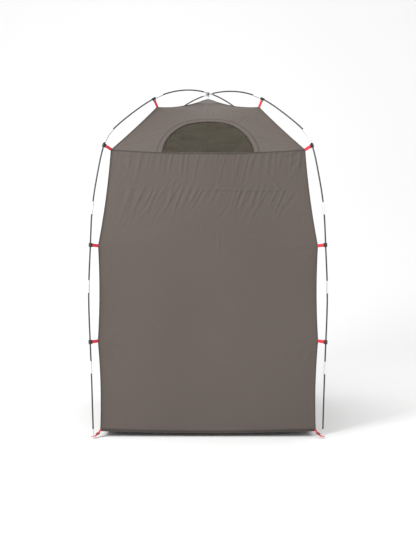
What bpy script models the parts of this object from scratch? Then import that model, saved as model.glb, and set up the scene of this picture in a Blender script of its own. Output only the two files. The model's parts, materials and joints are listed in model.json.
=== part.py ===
"""Privacy shower tent: a floorless square dome hung from two crossed, shock-corded poles.

Metres, +Z up. The origin is on the ground under the crossing of the poles. The side with the half-moon
window faces -Y, the door faces +Y, and left is -X. Fabric is modelled 2 mm thick.
"""

import math

import bmesh
import bpy
import numpy as np
from mathutils import Matrix, Vector
from mathutils.geometry import tessellate_polygon

# Overall frame
CROWN_HEIGHT = 2.130  # ground to the top of the upper pole, where the poles cross
FOOT_SPREAD = 1.281  # between neighbouring pole feet
POLE_STACK = 0.0115  # centre of the upper pole above the centre of the lower one, at the crossing
# One half of a bent pole from the crossing to the foot: share of the foot's radius, share of the height
ARCH_SHAPE = (
    (0.519, 0.9336),
    (0.689, 0.8817),
    (0.831, 0.8305),
    (0.895, 0.7994),
    (0.922, 0.7746),
    (0.9685, 0.6995),
    (1.006, 0.6127),
    (1.022, 0.5078),
    (1.034, 0.3897),
    (1.023, 0.2500),
    (1.000, 0.0),
)

# Poles
POLE_RADIUS = 0.00425
POLE_BORE_RADIUS = 0.0026
POLE_SIDES = 8
CORD_RADIUS = 0.00125
CORD_SIDES = 4
ELBOW_FROM_CROSSING = 0.932  # along the pole, to the middle of the bent sleeve
ELBOW_LENGTH = 0.100
ELBOW_WALL = 0.0009
ELBOW_STEPS = 6
SLEEVE_CLEARANCE = 0.0005
CROWN_STEP = 0.080
LEG_STEP = 0.150
TUBE_END_GAP = 0.0010

# Pole tips and the grommets that hold them
TIP_PIN_RADIUS = 0.0025
TIP_PIN_LENGTH = 0.018
TIP_COLLAR_RADIUS = 0.0034
TIP_COLLAR_LENGTH = 0.032
TIP_PLUG_LENGTH = 0.022
TIP_SIDES = 8
GROMMET_OUTER_RADIUS = 0.0070
GROMMET_BORE_RADIUS = 0.0032
GROMMET_THICKNESS = 0.0036
GROMMET_HEIGHT = 0.0125  # its middle above the ground

# Fabric body
FABRIC_THICKNESS = 0.002
STRAP_REACH = 0.053  # from a fabric corner to the middle of the pole
APEX_DROP = 0.047  # from the top of the upper pole down to the peak of the fabric
APEX_HOLE_HALF = 0.020  # half the square hole at the peak
HEM_CORNER = 0.033
HEM_MIDDLE = 0.021
SEAM_SAG = 0.020  # of the seam between wall and roof, in its middle
FOOT_STRAP_RUN = 0.048  # from a bottom corner out to its pole foot
PANEL_GAP = 0.0004
CLEARANCE = 0.0004
WALL_COLUMNS = 8
WALL_ROWS = 3  # between two clip levels
ROOF_HOLLOW = 0.055  # how far a roof panel's middle is drawn in, level with the crown clips
RIDGE_SAG = 0.018  # of a ridge between its crown clip and the peak
ROOF_COLUMNS = 8
ROOF_ROWS = (5, 4)  # below and above the crown clips

# Clips and the webbing that carries them
CROWN_CLIP_FROM_CROSSING = 0.492
SHOULDER_BELOW_ELBOW = 0.066
LEG_CLIP_SPACING = 0.541
CLIP_LENGTH = 0.022
CLIP_WALL = 0.0021
CLIP_BAR_RADIUS = 0.0015
CLIP_BAR_TO_POLE = 0.0125
CLIP_SIDE_THICKNESS = 0.0016
CLIP_CLEARANCE = 0.0009  # round the pole
WEBBING_WIDTH = 0.018
WEBBING_THICKNESS = 0.0012
TAB_THICKNESS = 0.0015
TAPE_WIDTH = 0.016
TAPE_END = 0.014  # past the crown clip

# Window in the front roof panel
WINDOW_HALF_WIDTH = 0.263
WINDOW_HEIGHT = 0.304
WINDOW_SILL = -0.006  # its straight edge, up the slope from a line between the corners
WINDOW_SEGMENTS = 24
NET_OVERLAP = 0.010
NET_THICKNESS = 0.0010
FLAP_THICKNESS = 0.0012
FLAP_OVERLAP = 0.012
FLAP_INSET = 0.0125  # the flap's folding line behind the outside of the wall
FLAP_ABOVE_SEAM = 0.004
POCKET_HALF_WIDTH = 0.300
POCKET_DEPTH = 0.200
POCKET_BELOW_SEAM = 0.008
POCKET_INSET = 0.0035

# Door in the rear wall
DOOR_HALF_WIDTH = 0.500
DOOR_TOP_DROP = 0.066  # the door's top edge below the seam between wall and roof
DOOR_GAP = 0.0040
DOOR_HINGE_OUT = 0.0015  # the folding line outside the fabric
ZIP_GAP = 0.0012
SLIDER_WIDTH = 0.011
SLIDER_HEIGHT = 0.018
SLIDER_DEPTH = 0.0055
SLIDER_LIFT = 0.0006  # off the face of the door
SLIDER_BELOW_DOOR_TOP = 0.018  # its middle
PULL_LENGTH = 0.024
PULL_WIDTH = 0.0075
PULL_THICKNESS = 0.0016
PULL_PIN_RADIUS = 0.0009
PULL_EYE_RADIUS = 0.0014

# Hook over the crossing, its flange in the peak of the fabric, and the eye below it
HOOK_WALL = 0.0024
HOOK_WIDTH = 0.0060
HOOK_WRAP = 215  # degrees round the upper pole
HOOK_FROM_LOWER_POLE = 0.0022
STEM_RADIUS = 0.0030
BRIDGE_THICKNESS = 0.0050
FLANGE_RADIUS = 0.0185
FLANGE_THICKNESS = 0.0030
FLANGE_DROP = 0.0015  # its top below the peak
LUG_HALF_WIDTH = 0.0065
LUG_HALF_THICKNESS = 0.0018
EYE_RADIUS = 0.0036
EYE_DROP = 0.0160  # the middle of the eye below the peak

# Small fittings
RING_RADIUS = 0.014
RING_WIRE = 0.0016
HANGER_LENGTH = 0.220
HANGER_WIDTH = 0.020
HANGER_THICKNESS = 0.0016
HANGER_LOOP_RADIUS = 0.0075  # inside the sewn end loop
HANGER_FROM_CROWN_LEVEL = 0.065  # down the slope of the rear roof panel
HANGER_DROP = 0.006
TIE_LENGTH = 0.140
TIE_WIDTH = 0.012
TIE_THICKNESS = 0.0014
TIE_TOGGLE_RADIUS = 0.0045
TIE_TOGGLE_LENGTH = 0.030
TIE_TOP = 1.050
TIE_X = 0.560

CORNERS = {
    "front_left": (-1, -1),
    "rear_right": (1, 1),
    "front_right": (1, -1),
    "rear_left": (-1, 1),
}
SIDE_ANGLES = {"front": 0.0, "right": 90.0, "rear": 180.0, "left": -90.0}


# ---------------------------------------------------------------- meshes and objects


def material(name, rgb, roughness, metallic=0.0, alpha=1.0):
    """A Principled material of one colour."""
    made = bpy.data.materials.new(name)
    made.use_nodes = True
    shader = made.node_tree.nodes["Principled BSDF"]
    shader.inputs["Base Color"].default_value = (*rgb, 1.0)
    shader.inputs["Roughness"].default_value = roughness
    shader.inputs["Metallic"].default_value = metallic
    shader.inputs["Alpha"].default_value = alpha
    made.diffuse_color = (*rgb, alpha)
    return made


def mesh_of(name, points, faces):
    """A mesh whose faces are turned outwards."""
    mesh = bpy.data.meshes.new(name)
    mesh.from_pydata([tuple(p) for p in points], [], [tuple(f) for f in faces])
    work = bmesh.new()
    work.from_mesh(mesh)
    bmesh.ops.triangulate(work, faces=work.faces)
    bmesh.ops.recalc_face_normals(work, faces=work.faces)
    work.to_mesh(mesh)
    work.free()
    return mesh


def add(name, mesh, finish, place=None):
    """An object in the scene, at a matrix."""
    obj = bpy.data.objects.new(name, mesh)
    bpy.context.scene.collection.objects.link(obj)
    if finish is not None and finish.name not in mesh.materials:
        mesh.materials.append(finish)
    if place is not None:
        obj.matrix_world = place
    return obj


def smooth(obj, angle=35):
    """Shades a round piece smooth, with its sharp edges kept."""
    obj.data.shade_smooth()
    obj.data.set_sharp_from_angle(angle=math.radians(angle))
    return obj


def evaluated_mesh(obj):
    """The object's mesh with its modifiers applied."""
    bpy.context.view_layer.update()
    graph = bpy.context.evaluated_depsgraph_get()
    return bpy.data.meshes.new_from_object(obj.evaluated_get(graph))


def set_origin(obj, point):
    """Moves an object's origin to a point of its joint's axis and leaves its shape where it is."""
    obj.data.transform(Matrix.Translation(-Vector(point)))
    obj.location = point
    return obj


def combine(name, base, others, operation):
    """One mesh, in the tent's frame, from base and others by a Boolean. The objects are used up."""
    for number, other in enumerate(others):
        cut = base.modifiers.new(f"{operation.lower()}_{number}", "BOOLEAN")
        cut.operation = operation
        cut.solver = "EXACT"
        cut.object = other
    mesh = evaluated_mesh(base)
    mesh.transform(base.matrix_world)
    mesh.name = name
    for used in (base, *others):
        bpy.data.objects.remove(used)
    return mesh


def prism(name, loops, low, high):
    """A flat region with holes, in the XY plane, extruded along Z. The first loop is the outline."""
    loops = [[Vector((x, y, 0)) for x, y in loop] for loop in loops]
    count = sum(len(loop) for loop in loops)
    flat = [p for loop in loops for p in loop]
    points = [(p.x, p.y, low) for p in flat] + [(p.x, p.y, high) for p in flat]
    caps = tessellate_polygon(loops)
    faces = [tuple(reversed(t)) for t in caps]
    faces += [tuple(i + count for i in t) for t in caps]
    start = 0
    for loop in loops:
        for i in range(len(loop)):
            a, b = start + i, start + (i + 1) % len(loop)
            faces.append((a, b, b + count, a + count))
        start += len(loop)
    return mesh_of(name, points, faces)


def arc(radius, start, end, steps, centre=(0.0, 0.0)):
    """Points along an arc, in degrees, both ends included."""
    angles = [math.radians(start + (end - start) * i / steps) for i in range(steps + 1)]
    return [(centre[0] + radius * math.cos(a), centre[1] + radius * math.sin(a)) for a in angles]


def circle(radius, sides, centre=(0.0, 0.0)):
    return arc(radius, 0, 360 * (sides - 1) / sides, sides - 1, centre)


def rectangle(x0, x1, y0, y1):
    return [(x0, y0), (x1, y0), (x1, y1), (x0, y1)]


def shell(name, outer, inner, keep=None):
    """A closed sheet between two grids of points of the same size. Cells that keep(row, column) refuses are left out."""
    rows, columns = len(outer), len(outer[0])
    cells = [(i, j) for i in range(rows - 1) for j in range(columns - 1) if keep is None or keep(i, j)]
    quads = []
    for i, j in cells:
        a = i * columns + j
        quads.append((a, a + 1, a + 1 + columns, a + columns))
    edges = {(q[k], q[(k + 1) % 4]) for q in quads for k in range(4)}
    rim = sorted(edge for edge in edges if (edge[1], edge[0]) not in edges)
    used = sorted({corner for q in quads for corner in q})
    place = {corner: k for k, corner in enumerate(used)}
    back = len(used)
    flat_outer = [p for row in outer for p in row]
    flat_inner = [p for row in inner for p in row]
    points = [flat_outer[k] for k in used] + [flat_inner[k] for k in used]
    faces = [tuple(place[k] for k in q) for q in quads]
    faces += [tuple(back + place[k] for k in reversed(q)) for q in quads]
    faces += [(place[b], place[a], back + place[a], back + place[b]) for a, b in rim]
    return mesh_of(name, points, faces)


def sweep(name, rings, hollow_rings=None):
    """A solid through rings of points. With a second set of rings it is a tube, open at both ends."""
    sides, count = len(rings[0]), len(rings)
    points = [p for ring in rings for p in ring]
    faces = []
    for i in range(count - 1):
        for k in range(sides):
            a, b = i * sides + k, i * sides + (k + 1) % sides
            faces.append((a, b, b + sides, a + sides))
    if hollow_rings is None:
        faces.append(tuple(range(sides)))
        faces.append(tuple((count - 1) * sides + k for k in reversed(range(sides))))
        return mesh_of(name, points, faces)
    inside = len(points)
    points += [p for ring in hollow_rings for p in ring]
    for i in range(count - 1):
        for k in range(sides):
            a, b = inside + i * sides + k, inside + i * sides + (k + 1) % sides
            faces.append((a, a + sides, b + sides, b))
    for end in (0, (count - 1) * sides):
        for k in range(sides):
            a, b = end + k, end + (k + 1) % sides
            faces.append((a, b, inside + b, inside + a))
    return mesh_of(name, points, faces)


# ---------------------------------------------------------------- the bent pole


def spline_second_derivatives(knots, values):
    """Second derivatives of the natural cubic spline through values at knots."""
    count = len(knots)
    gaps = np.diff(knots)
    system = np.eye(count)
    right = np.zeros(count)
    for i in range(1, count - 1):
        system[i, i - 1 : i + 2] = gaps[i - 1], 2 * (gaps[i - 1] + gaps[i]), gaps[i]
        right[i] = 6 * ((values[i + 1] - values[i]) / gaps[i] - (values[i] - values[i - 1]) / gaps[i - 1])
    return np.linalg.solve(system, right)


def spline(knots, values, at):
    """The natural cubic spline through values at knots, read at many places."""
    second = spline_second_derivatives(knots, values)
    i = np.clip(np.searchsorted(knots, at) - 1, 0, len(knots) - 2)
    gap = knots[i + 1] - knots[i]
    a, b = (knots[i + 1] - at) / gap, (at - knots[i]) / gap
    bend = ((a**3 - a) * second[i] + (b**3 - b) * second[i + 1]) * gap**2 / 6
    return a * values[i] + b * values[i + 1] + bend


class Arch:
    """The centre line of a bent pole in its own upright plane: radius from the middle, height, by length from the crossing."""

    SAMPLES = 6000

    def __init__(self, crossing_height):
        foot_radius = FOOT_SPREAD / math.sqrt(2)
        half = [(foot_radius * r, CROWN_HEIGHT * z) for r, z in ARCH_SHAPE]
        whole = [(-r, z) for r, z in reversed(half)] + [(0.0, crossing_height)] + half
        stations = np.array(whole)
        steps = np.linalg.norm(np.diff(stations, axis=0), axis=1)
        knots = np.concatenate([[0.0], np.cumsum(steps)])
        at = np.linspace(knots[len(half)], knots[-1], self.SAMPLES)
        self.line = np.column_stack([spline(knots, stations[:, k], at) for k in (0, 1)])
        lengths = np.linalg.norm(np.diff(self.line, axis=0), axis=1)
        self.along = np.concatenate([[0.0], np.cumsum(lengths)])
        self.length = float(self.along[-1])

    def at(self, s):
        """(radius, height) at a length from the crossing. Negative lengths run to the opposite foot."""
        r = float(np.interp(abs(s), self.along, self.line[:, 0]))
        z = float(np.interp(abs(s), self.along, self.line[:, 1]))
        return math.copysign(r, s) if s else 0.0, z

    def tangent(self, s):
        """The direction of growing length, in (radius, height)."""
        step = 0.002
        near, far = max(s - step, -self.length), min(s + step, self.length)
        a, b = self.at(near), self.at(far)
        size = math.hypot(b[0] - a[0], b[1] - a[1])
        return (b[0] - a[0]) / size, (b[1] - a[1]) / size


UPPER_ARCH = Arch(CROWN_HEIGHT - POLE_RADIUS)
LOWER_ARCH = Arch(CROWN_HEIGHT - POLE_RADIUS - POLE_STACK)
ARCH_OF = {
    "front_left": UPPER_ARCH,
    "rear_right": UPPER_ARCH,
    "front_right": LOWER_ARCH,
    "rear_left": LOWER_ARCH,
}


def outward(corner):
    """The level direction from the middle of the tent towards a corner."""
    x, y = CORNERS[corner]
    return Vector((x, y, 0)).normalized()


def in_plane(corner, radius, height):
    """A point of the upright plane through a corner, in the tent's frame."""
    return outward(corner) * radius + Vector((0, 0, height))


def pole_frame(corner, s):
    """Centre, outward normal, sideways and tangent of the corner's pole at a length from the crossing."""
    arch = ARCH_OF[corner]
    r, z = arch.at(s)
    tr, tz = arch.tangent(s)
    tangent = outward(corner) * tr + Vector((0, 0, tz))
    normal = outward(corner) * -tz + Vector((0, 0, tr))
    return in_plane(corner, r, z), normal, tangent.cross(normal), tangent


def pole_ring(corner, s, radius, sides):
    """A ring of points round the pole's centre line."""
    centre, normal, side, _ = pole_frame(corner, s)
    turns = [2 * math.pi * k / sides for k in range(sides)]
    return [centre + normal * radius * math.cos(a) + side * radius * math.sin(a) for a in turns]


def elbow_stations():
    start = ELBOW_FROM_CROSSING - ELBOW_LENGTH / 2
    return [start + ELBOW_LENGTH * k / ELBOW_STEPS for k in range(ELBOW_STEPS + 1)]


def even_stations(start, end, step, fixed=()):
    """Lengths from start to end, no further apart than step, that pass through the fixed ones."""
    stops = [start, *sorted(f for f in fixed if start < f < end), end]
    found = [start]
    for a, b in zip(stops, stops[1:]):
        count = max(1, math.ceil((b - a) / step))
        found += [a + (b - a) * k / count for k in range(1, count + 1)]
    return found


def clip_stations(arch):
    """Where the clips sit, by length from the crossing."""
    return {
        "crown": CROWN_CLIP_FROM_CROSSING,
        "shoulder": ELBOW_FROM_CROSSING + SHOULDER_BELOW_ELBOW,
        "waist": arch.length - 2 * LEG_CLIP_SPACING,
        "knee": arch.length - LEG_CLIP_SPACING,
    }


def clip_stops(arch):
    """The middle and the two ends of each clip, along the pole."""
    reach = CLIP_LENGTH / 2 + CLIP_CLEARANCE
    return [s + k * reach for s in clip_stations(arch).values() for k in (-1, 0, 1)]


def tube(name, corner, stations, outer_radius, bore_radius, finish):
    """A hollow pole piece along the centre line."""
    outer = [pole_ring(corner, s, outer_radius, POLE_SIDES) for s in stations]
    bore = [pole_ring(corner, s, bore_radius, POLE_SIDES) for s in stations]
    return smooth(add(name, sweep(name, outer, bore), finish))


TIP_LENGTH = TIP_PIN_LENGTH + TIP_COLLAR_LENGTH


def make_pole(label, start, end, finishes):
    """A whole pole from the corner start to the corner end: crown, two elbows, two legs, two tips and its cord."""
    arch = ARCH_OF[end]
    stops = clip_stops(arch)
    inside_elbow = [s for s in elbow_stations() if s > ELBOW_FROM_CROSSING + TUBE_END_GAP]
    crown_half = even_stations(0.0, elbow_stations()[0], CROWN_STEP, stops)
    crown_half += [s for s in elbow_stations()[1:] if s < ELBOW_FROM_CROSSING - TUBE_END_GAP]
    crown_half.append(ELBOW_FROM_CROSSING - TUBE_END_GAP / 2)
    crown = [-s for s in reversed(crown_half[1:])] + crown_half
    tube(f"crown_pole_{label}", end, crown, POLE_RADIUS, POLE_BORE_RADIUS, finishes["pole"])
    leg = [ELBOW_FROM_CROSSING + TUBE_END_GAP / 2, *inside_elbow]
    leg += even_stations(leg[-1], arch.length - TIP_LENGTH, LEG_STEP, stops)[1:]
    sleeve_bore = POLE_RADIUS + SLEEVE_CLEARANCE
    for corner in (start, end):
        tube(f"leg_pole_{corner}", corner, leg, POLE_RADIUS, POLE_BORE_RADIUS, finishes["pole"])
        tube(f"elbow_{corner}", corner, elbow_stations(), sleeve_bore + ELBOW_WALL, sleeve_bore, finishes["metal"])
        make_tip(corner, finishes)
    plug_top = arch.length - TIP_LENGTH - TIP_PLUG_LENGTH
    cord_half = [s for s in crown_half + leg if s < plug_top - CLEARANCE] + [plug_top - CLEARANCE]
    cord_line = [-s for s in reversed(cord_half[1:])] + cord_half
    rings = [pole_ring(end, s, CORD_RADIUS, CORD_SIDES) for s in cord_line]
    smooth(add(f"shock_cord_{label}", sweep(f"shock_cord_{label}", rings), finishes["cord"]))


def make_tip(corner, finishes):
    """The turned metal end of a leg. Its pin stands on the ground with a level end."""
    length = ARCH_OF[corner].length
    pin_top = length - TIP_PIN_LENGTH
    collar_top = length - TIP_LENGTH + CLEARANCE
    plug_top = collar_top - TIP_PLUG_LENGTH
    plug_radius = POLE_BORE_RADIUS - SLEEVE_CLEARANCE
    steps = (
        (pin_top, TIP_PIN_RADIUS),
        (pin_top, TIP_COLLAR_RADIUS),
        (collar_top, TIP_COLLAR_RADIUS),
        (collar_top, plug_radius),
        (plug_top, plug_radius),
    )
    foot = pole_frame(corner, length)[0]
    rings = [[Vector((p.x, p.y, 0)) for p in pole_ring(corner, length, TIP_PIN_RADIUS, TIP_SIDES)]]
    assert abs(foot.z) < 1e-6
    rings += [pole_ring(corner, s, radius, TIP_SIDES) for s, radius in steps]
    smooth(add(f"pole_tip_{corner}", sweep(f"pole_tip_{corner}", rings), finishes["metal"]))


# ---------------------------------------------------------------- the fabric's profile


def corner_point(level):
    """(half width, height) of the fabric's corner at a clip."""
    s = clip_stations(LOWER_ARCH)[level]
    r, z = LOWER_ARCH.at(s)
    tr, tz = LOWER_ARCH.tangent(s)
    return (r + tz * STRAP_REACH) / math.sqrt(2), z - tr * STRAP_REACH


HEM = (FOOT_SPREAD / 2 - FOOT_STRAP_RUN / math.sqrt(2), HEM_CORNER)
KNEE = corner_point("knee")
WAIST = corner_point("waist")
SEAM = corner_point("shoulder")
CROWN = corner_point("crown")
APEX = (0.0, CROWN_HEIGHT - APEX_DROP)
WALL_PROFILE = (HEM, KNEE, WAIST, SEAM)


def half_width(z):
    """Half the width of the walls at the corners, by height."""
    widths, heights = zip(*WALL_PROFILE)
    return float(np.interp(z, heights, widths))


def wall_depth(x, z):
    """How far a wall stands from the middle of the tent. Its corners follow the clips, and its middle is straight."""
    corner = half_width(z)
    share = (z - HEM[1]) / (SEAM[1] - HEM[1])
    middle = HEM[0] + (SEAM[0] - HEM[0]) * min(max(share, 0.0), 1.0)
    return middle + (corner - middle) * min(1.0, abs(x) / corner) ** 2


def wall_height(x, z):
    """The true height of a point of a wall: the hem hangs lower in its middle, and so does the seam above the door."""
    hem = HEM_MIDDLE + (HEM_CORNER - HEM_MIDDLE) * min(1.0, abs(x) / HEM[0]) ** 2
    share = max(0.0, (z - door_top()) / (SEAM[1] - door_top()))
    sag = SEAM_SAG * share * (1 - min(1.0, abs(x) / half_width(z)) ** 2)
    return max(z, hem) - sag


def wall_heights(low, high, extra=()):
    """Rows of a wall, which pass through the clip levels and the extra heights."""
    levels = sorted([z for _, z in WALL_PROFILE[1:]] + list(extra))
    stops = [low, *[z for z in levels if low < z < high], high]
    found = [low]
    for a, b in zip(stops, stops[1:]):
        found += [a + (b - a) * k / WALL_ROWS for k in range(1, WALL_ROWS + 1)]
    return found


def wall_grid(rows, columns, inset):
    """Points of a wall in the front side's frame. A column is a place across, from -1 to 1 or a function of height."""
    grid = []
    for z in rows:
        row = []
        for column in columns:
            x = column(z) if callable(column) else column * (half_width(z) - inset - PANEL_GAP)
            row.append(Vector((x, inset - wall_depth(x, z), wall_height(x, z))))
        grid.append(row)
    return grid


def turned(side):
    """The matrix that takes the front side's frame to another side."""
    return Matrix.Rotation(math.radians(SIDE_ANGLES[side]), 4, "Z")


def corner_columns():
    return [-1 + 2 * k / WALL_COLUMNS for k in range(WALL_COLUMNS + 1)]


def wall_mesh(name):
    """A whole wall, from hem to seam and from corner to corner."""
    rows = wall_heights(HEM_MIDDLE, SEAM[1] - PANEL_GAP)
    return shell(name, wall_grid(rows, corner_columns(), 0.0), wall_grid(rows, corner_columns(), FABRIC_THICKNESS))


def roof_slopes():
    """The up-slope angles of the lower and the upper part of a roof panel, in degrees."""
    lower = math.degrees(math.atan2(CROWN[1] - SEAM[1], SEAM[0] - CROWN[0]))
    upper = math.degrees(math.atan2(APEX[1] - CROWN[1], CROWN[0] - APEX[0]))
    return lower, upper


def ridge_stations():
    """Rows of a roof panel from the seam to the apex hole: half width, height, and how far its middle is in and down."""
    start = (SEAM[0], SEAM[1] + PANEL_GAP)
    rise = (APEX[1] - CROWN[1]) * (1 - APEX_HOLE_HALF / CROWN[0])
    top = (APEX_HOLE_HALF, CROWN[1] + rise)
    below, above = ROOF_ROWS
    rows = []
    for k in range(below + 1):
        t = k / below
        w, z = (a + (b - a) * t for a, b in zip(start, CROWN))
        rows.append((w, z, ROOF_HOLLOW * math.sin(math.pi / 2 * t), SEAM_SAG * (1 - t) ** 2))
    for k in range(1, above + 1):
        t = k / above
        w, z = (a + (b - a) * t for a, b in zip(CROWN, top))
        rows.append((w, z - RIDGE_SAG * 4 * t * (1 - t), ROOF_HOLLOW * math.cos(math.pi / 2 * t), 0.0))
    return rows


def roof_grid(inset):
    """Points of a roof panel in the front side's frame, inset from its outside. Its sides stay clear of the next panels."""
    rows = ridge_stations()
    columns = [-1 + 2 * k / ROOF_COLUMNS for k in range(ROOF_COLUMNS + 1)]
    grid = []
    for w, z, inwards, down in rows:
        grid.append([Vector((u * w, inwards * (1 - u * u) - w, z - down * (1 - u * u))) for u in columns])
    found = []
    for i, row in enumerate(grid):
        below, above = grid[max(i - 1, 0)], grid[min(i + 1, len(grid) - 1)]
        line = []
        for j, point in enumerate(row):
            across = row[min(j + 1, len(row) - 1)] - row[max(j - 1, 0)]
            moved = point - across.cross(above[j] - below[j]).normalized() * inset
            moved.z = max(moved.z, grid[0][j].z)
            moved.y = min(moved.y, -APEX_HOLE_HALF)
            side = -moved.y - PANEL_GAP
            moved.x = max(-side, min(side, moved.x))
            line.append(moved)
        found.append(line)
    return found


def roof_mesh(name, outer=0.0, thickness=FABRIC_THICKNESS):
    """A roof panel in the front side's frame, or a sheet that follows it at a depth."""
    return shell(name, roof_grid(outer), roof_grid(outer + thickness))


def roof_middle(z):
    """How far the middle of a roof panel stands from the tent's middle, by height."""
    rows = ridge_stations()
    return float(np.interp(z, [row[1] - row[3] for row in rows], [row[0] - row[2] for row in rows]))


def slope_frame():
    """Axes on the front roof panel's lower slope: X across, Y up the slope, Z outwards. The origin is on the seam."""
    slope = math.radians(roof_slopes()[0])
    up = Vector((0, math.cos(slope), math.sin(slope)))
    out = Vector((0, -math.sin(slope), math.cos(slope)))
    return Matrix.Translation((0, -SEAM[0], SEAM[1])) @ Matrix((Vector((1, 0, 0)), up, out)).transposed().to_4x4()


def half_moon(overlap, base):
    """The outline of the window, or of a piece that overlaps it, standing on the line y = base."""
    stretch = (WINDOW_HEIGHT + overlap) / (WINDOW_HALF_WIDTH + overlap)
    curve = arc(WINDOW_HALF_WIDTH + overlap, 0, 180, WINDOW_SEGMENTS)
    return [(x, base + y * stretch) for x, y in curve]


# ---------------------------------------------------------------- fabric pieces


def make_walls(finishes):
    for side in ("front", "left", "right"):
        add(f"{side}_wall", wall_mesh(f"{side}_wall"), finishes["fabric"], turned(side))
    rows = wall_heights(HEM_MIDDLE, SEAM[1] - PANEL_GAP, [door_top()])
    door = [lambda z, x=DOOR_HALF_WIDTH * k / 3: x for k in range(-3, 4)]
    columns = [-1, *door, 1]

    def keep(row, column):
        return rows[row] >= door_top() or column in (0, len(columns) - 2)

    grids = [wall_grid(rows, columns, inset) for inset in (0.0, FABRIC_THICKNESS)]
    add("rear_wall", shell("rear_wall", *grids, keep), finishes["fabric"], turned("rear"))


def door_hinge(label):
    """A point on a leaf's upright folding line, just outside the bulge of the wall."""
    x = {"left": -DOOR_HALF_WIDTH, "right": DOOR_HALF_WIDTH}[label]
    bulge = max(wall_depth(x, z) for _, z in WALL_PROFILE)
    return Vector((x, bulge + DOOR_HINGE_OUT, 0.0))


def door_top():
    return SEAM[1] - DOOR_TOP_DROP


def make_door_leaves(finishes):
    """Two leaves that meet at the zip. In the front side's frame the world's left is at +X."""
    rows = wall_heights(HEM_MIDDLE, door_top() - DOOR_GAP)
    inner_edge, outer_edge = ZIP_GAP / 2, DOOR_HALF_WIDTH - DOOR_GAP
    for label, sign in (("left", 1), ("right", -1)):
        across = [inner_edge + (outer_edge - inner_edge) * k / 4 for k in range(5)]
        columns = [lambda z, x=sign * x: x for x in across]
        grids = [wall_grid(rows, columns, inset) for inset in (0.0, FABRIC_THICKNESS)]
        mesh = shell(f"door_leaf_{label}", *grids)
        mesh.transform(turned("rear"))
        set_origin(add(f"door_leaf_{label}", mesh, finishes["fabric"]), door_hinge(label))


def make_roof(finishes):
    for side in ("rear", "left", "right"):
        add(f"roof_{side}", roof_mesh(f"roof_{side}"), finishes["fabric"], turned(side))
    whole = add("roof_blank", roof_mesh("roof_blank"), None)
    outline = half_moon(0.0, WINDOW_SILL)
    mesh = prism("window_hole", [outline], -2 * ROOF_HOLLOW, ROOF_HOLLOW)
    tool = add("window_hole", mesh, None, slope_frame())
    add("roof_front", combine("roof_front", whole, [tool], "DIFFERENCE"), finishes["fabric"])


def make_window(finishes):
    """The net behind the half-moon hole, the flap that covers it and the pocket that the flap is stowed in."""
    outline = half_moon(NET_OVERLAP, WINDOW_SILL - NET_OVERLAP)
    whole = roof_mesh("net_blank", FABRIC_THICKNESS + CLEARANCE, NET_THICKNESS)
    mesh = prism("net_cut", [outline], -2 * ROOF_HOLLOW, ROOF_HOLLOW)
    tool = add("net_cut", mesh, None, slope_frame())
    net = combine("window_net", add("net_blank", whole, None), [tool], "INTERSECT")
    add("window_net", net, finishes["net"])
    flap = half_moon(FLAP_OVERLAP, 0.0)
    half = FLAP_THICKNESS / 2
    hanging = Matrix.Translation(flap_hinge()) @ Matrix.Rotation(-math.pi / 2, 4, "X")
    add("window_flap", prism("window_flap", [flap], -half, half), finishes["fabric"], hanging)
    rows = wall_heights(SEAM[1] - POCKET_DEPTH, SEAM[1] - POCKET_BELOW_SEAM)
    columns = [lambda z, x=POCKET_HALF_WIDTH * k / 3: x for k in range(-3, 4)]
    insets = (FABRIC_THICKNESS + POCKET_INSET - NET_THICKNESS, FABRIC_THICKNESS + POCKET_INSET)
    add("window_pocket", shell("window_pocket", *[wall_grid(rows, columns, i) for i in insets]), finishes["fabric"])


def flap_hinge():
    """A point on the flap's folding line, which runs along X inside the seam."""
    return Vector((0, FLAP_INSET - wall_depth(0, SEAM[1]), SEAM[1] - SEAM_SAG + FLAP_ABOVE_SEAM))


# ---------------------------------------------------------------- clips, webbing and grommets


def clip_mesh():
    """A hook that turns on its bar, at the origin and along Z. The pole's centre is on +X, and the mouth faces -Y."""
    near = CLIP_BAR_TO_POLE - POLE_RADIUS - CLIP_CLEARANCE
    far = CLIP_BAR_TO_POLE + POLE_RADIUS + CLIP_CLEARANCE
    shut = math.degrees(math.asin((POLE_RADIUS + CLIP_CLEARANCE) / CLIP_BAR_TO_POLE)) + 1
    mouth = -shut - 2
    back = shut + math.degrees(CLIP_WALL / CLIP_BAR_TO_POLE)
    jaw = arc(far + CLIP_WALL, mouth, back, 4) + arc(near - CLIP_WALL, back, mouth, 2)
    jaw += arc(near, mouth, shut, 3) + arc(far, shut, mouth, 4)
    half = CLIP_LENGTH / 2
    base = add("jaw", prism("jaw", [jaw], -half, half), None)
    root = near - CLIP_WALL / 2
    cheek = arc(CLIP_BAR_RADIUS + 0.001, 90, 270, 4) + arc(root, -14, 14, 1)
    inner = half - CLIP_SIDE_THICKNESS
    parts = [
        add("cheek_low", prism("cheek_low", [cheek], -half, -inner), None),
        add("cheek_high", prism("cheek_high", [cheek], inner, half), None),
        add("bar", prism("bar", [circle(CLIP_BAR_RADIUS, 6)], -inner - 0.0008, inner + 0.0008), None),
    ]
    return combine("clip", base, parts, "UNION")


def clip_place(corner, level):
    """The frame of a clip: origin on its bar, X towards the pole, Z along the pole."""
    centre, normal, side, tangent = pole_frame(corner, clip_stations(ARCH_OF[corner])[level])
    axes = Matrix((normal, side, tangent)).transposed().to_4x4()
    return Matrix.Translation(centre - normal * CLIP_BAR_TO_POLE) @ axes


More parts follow.
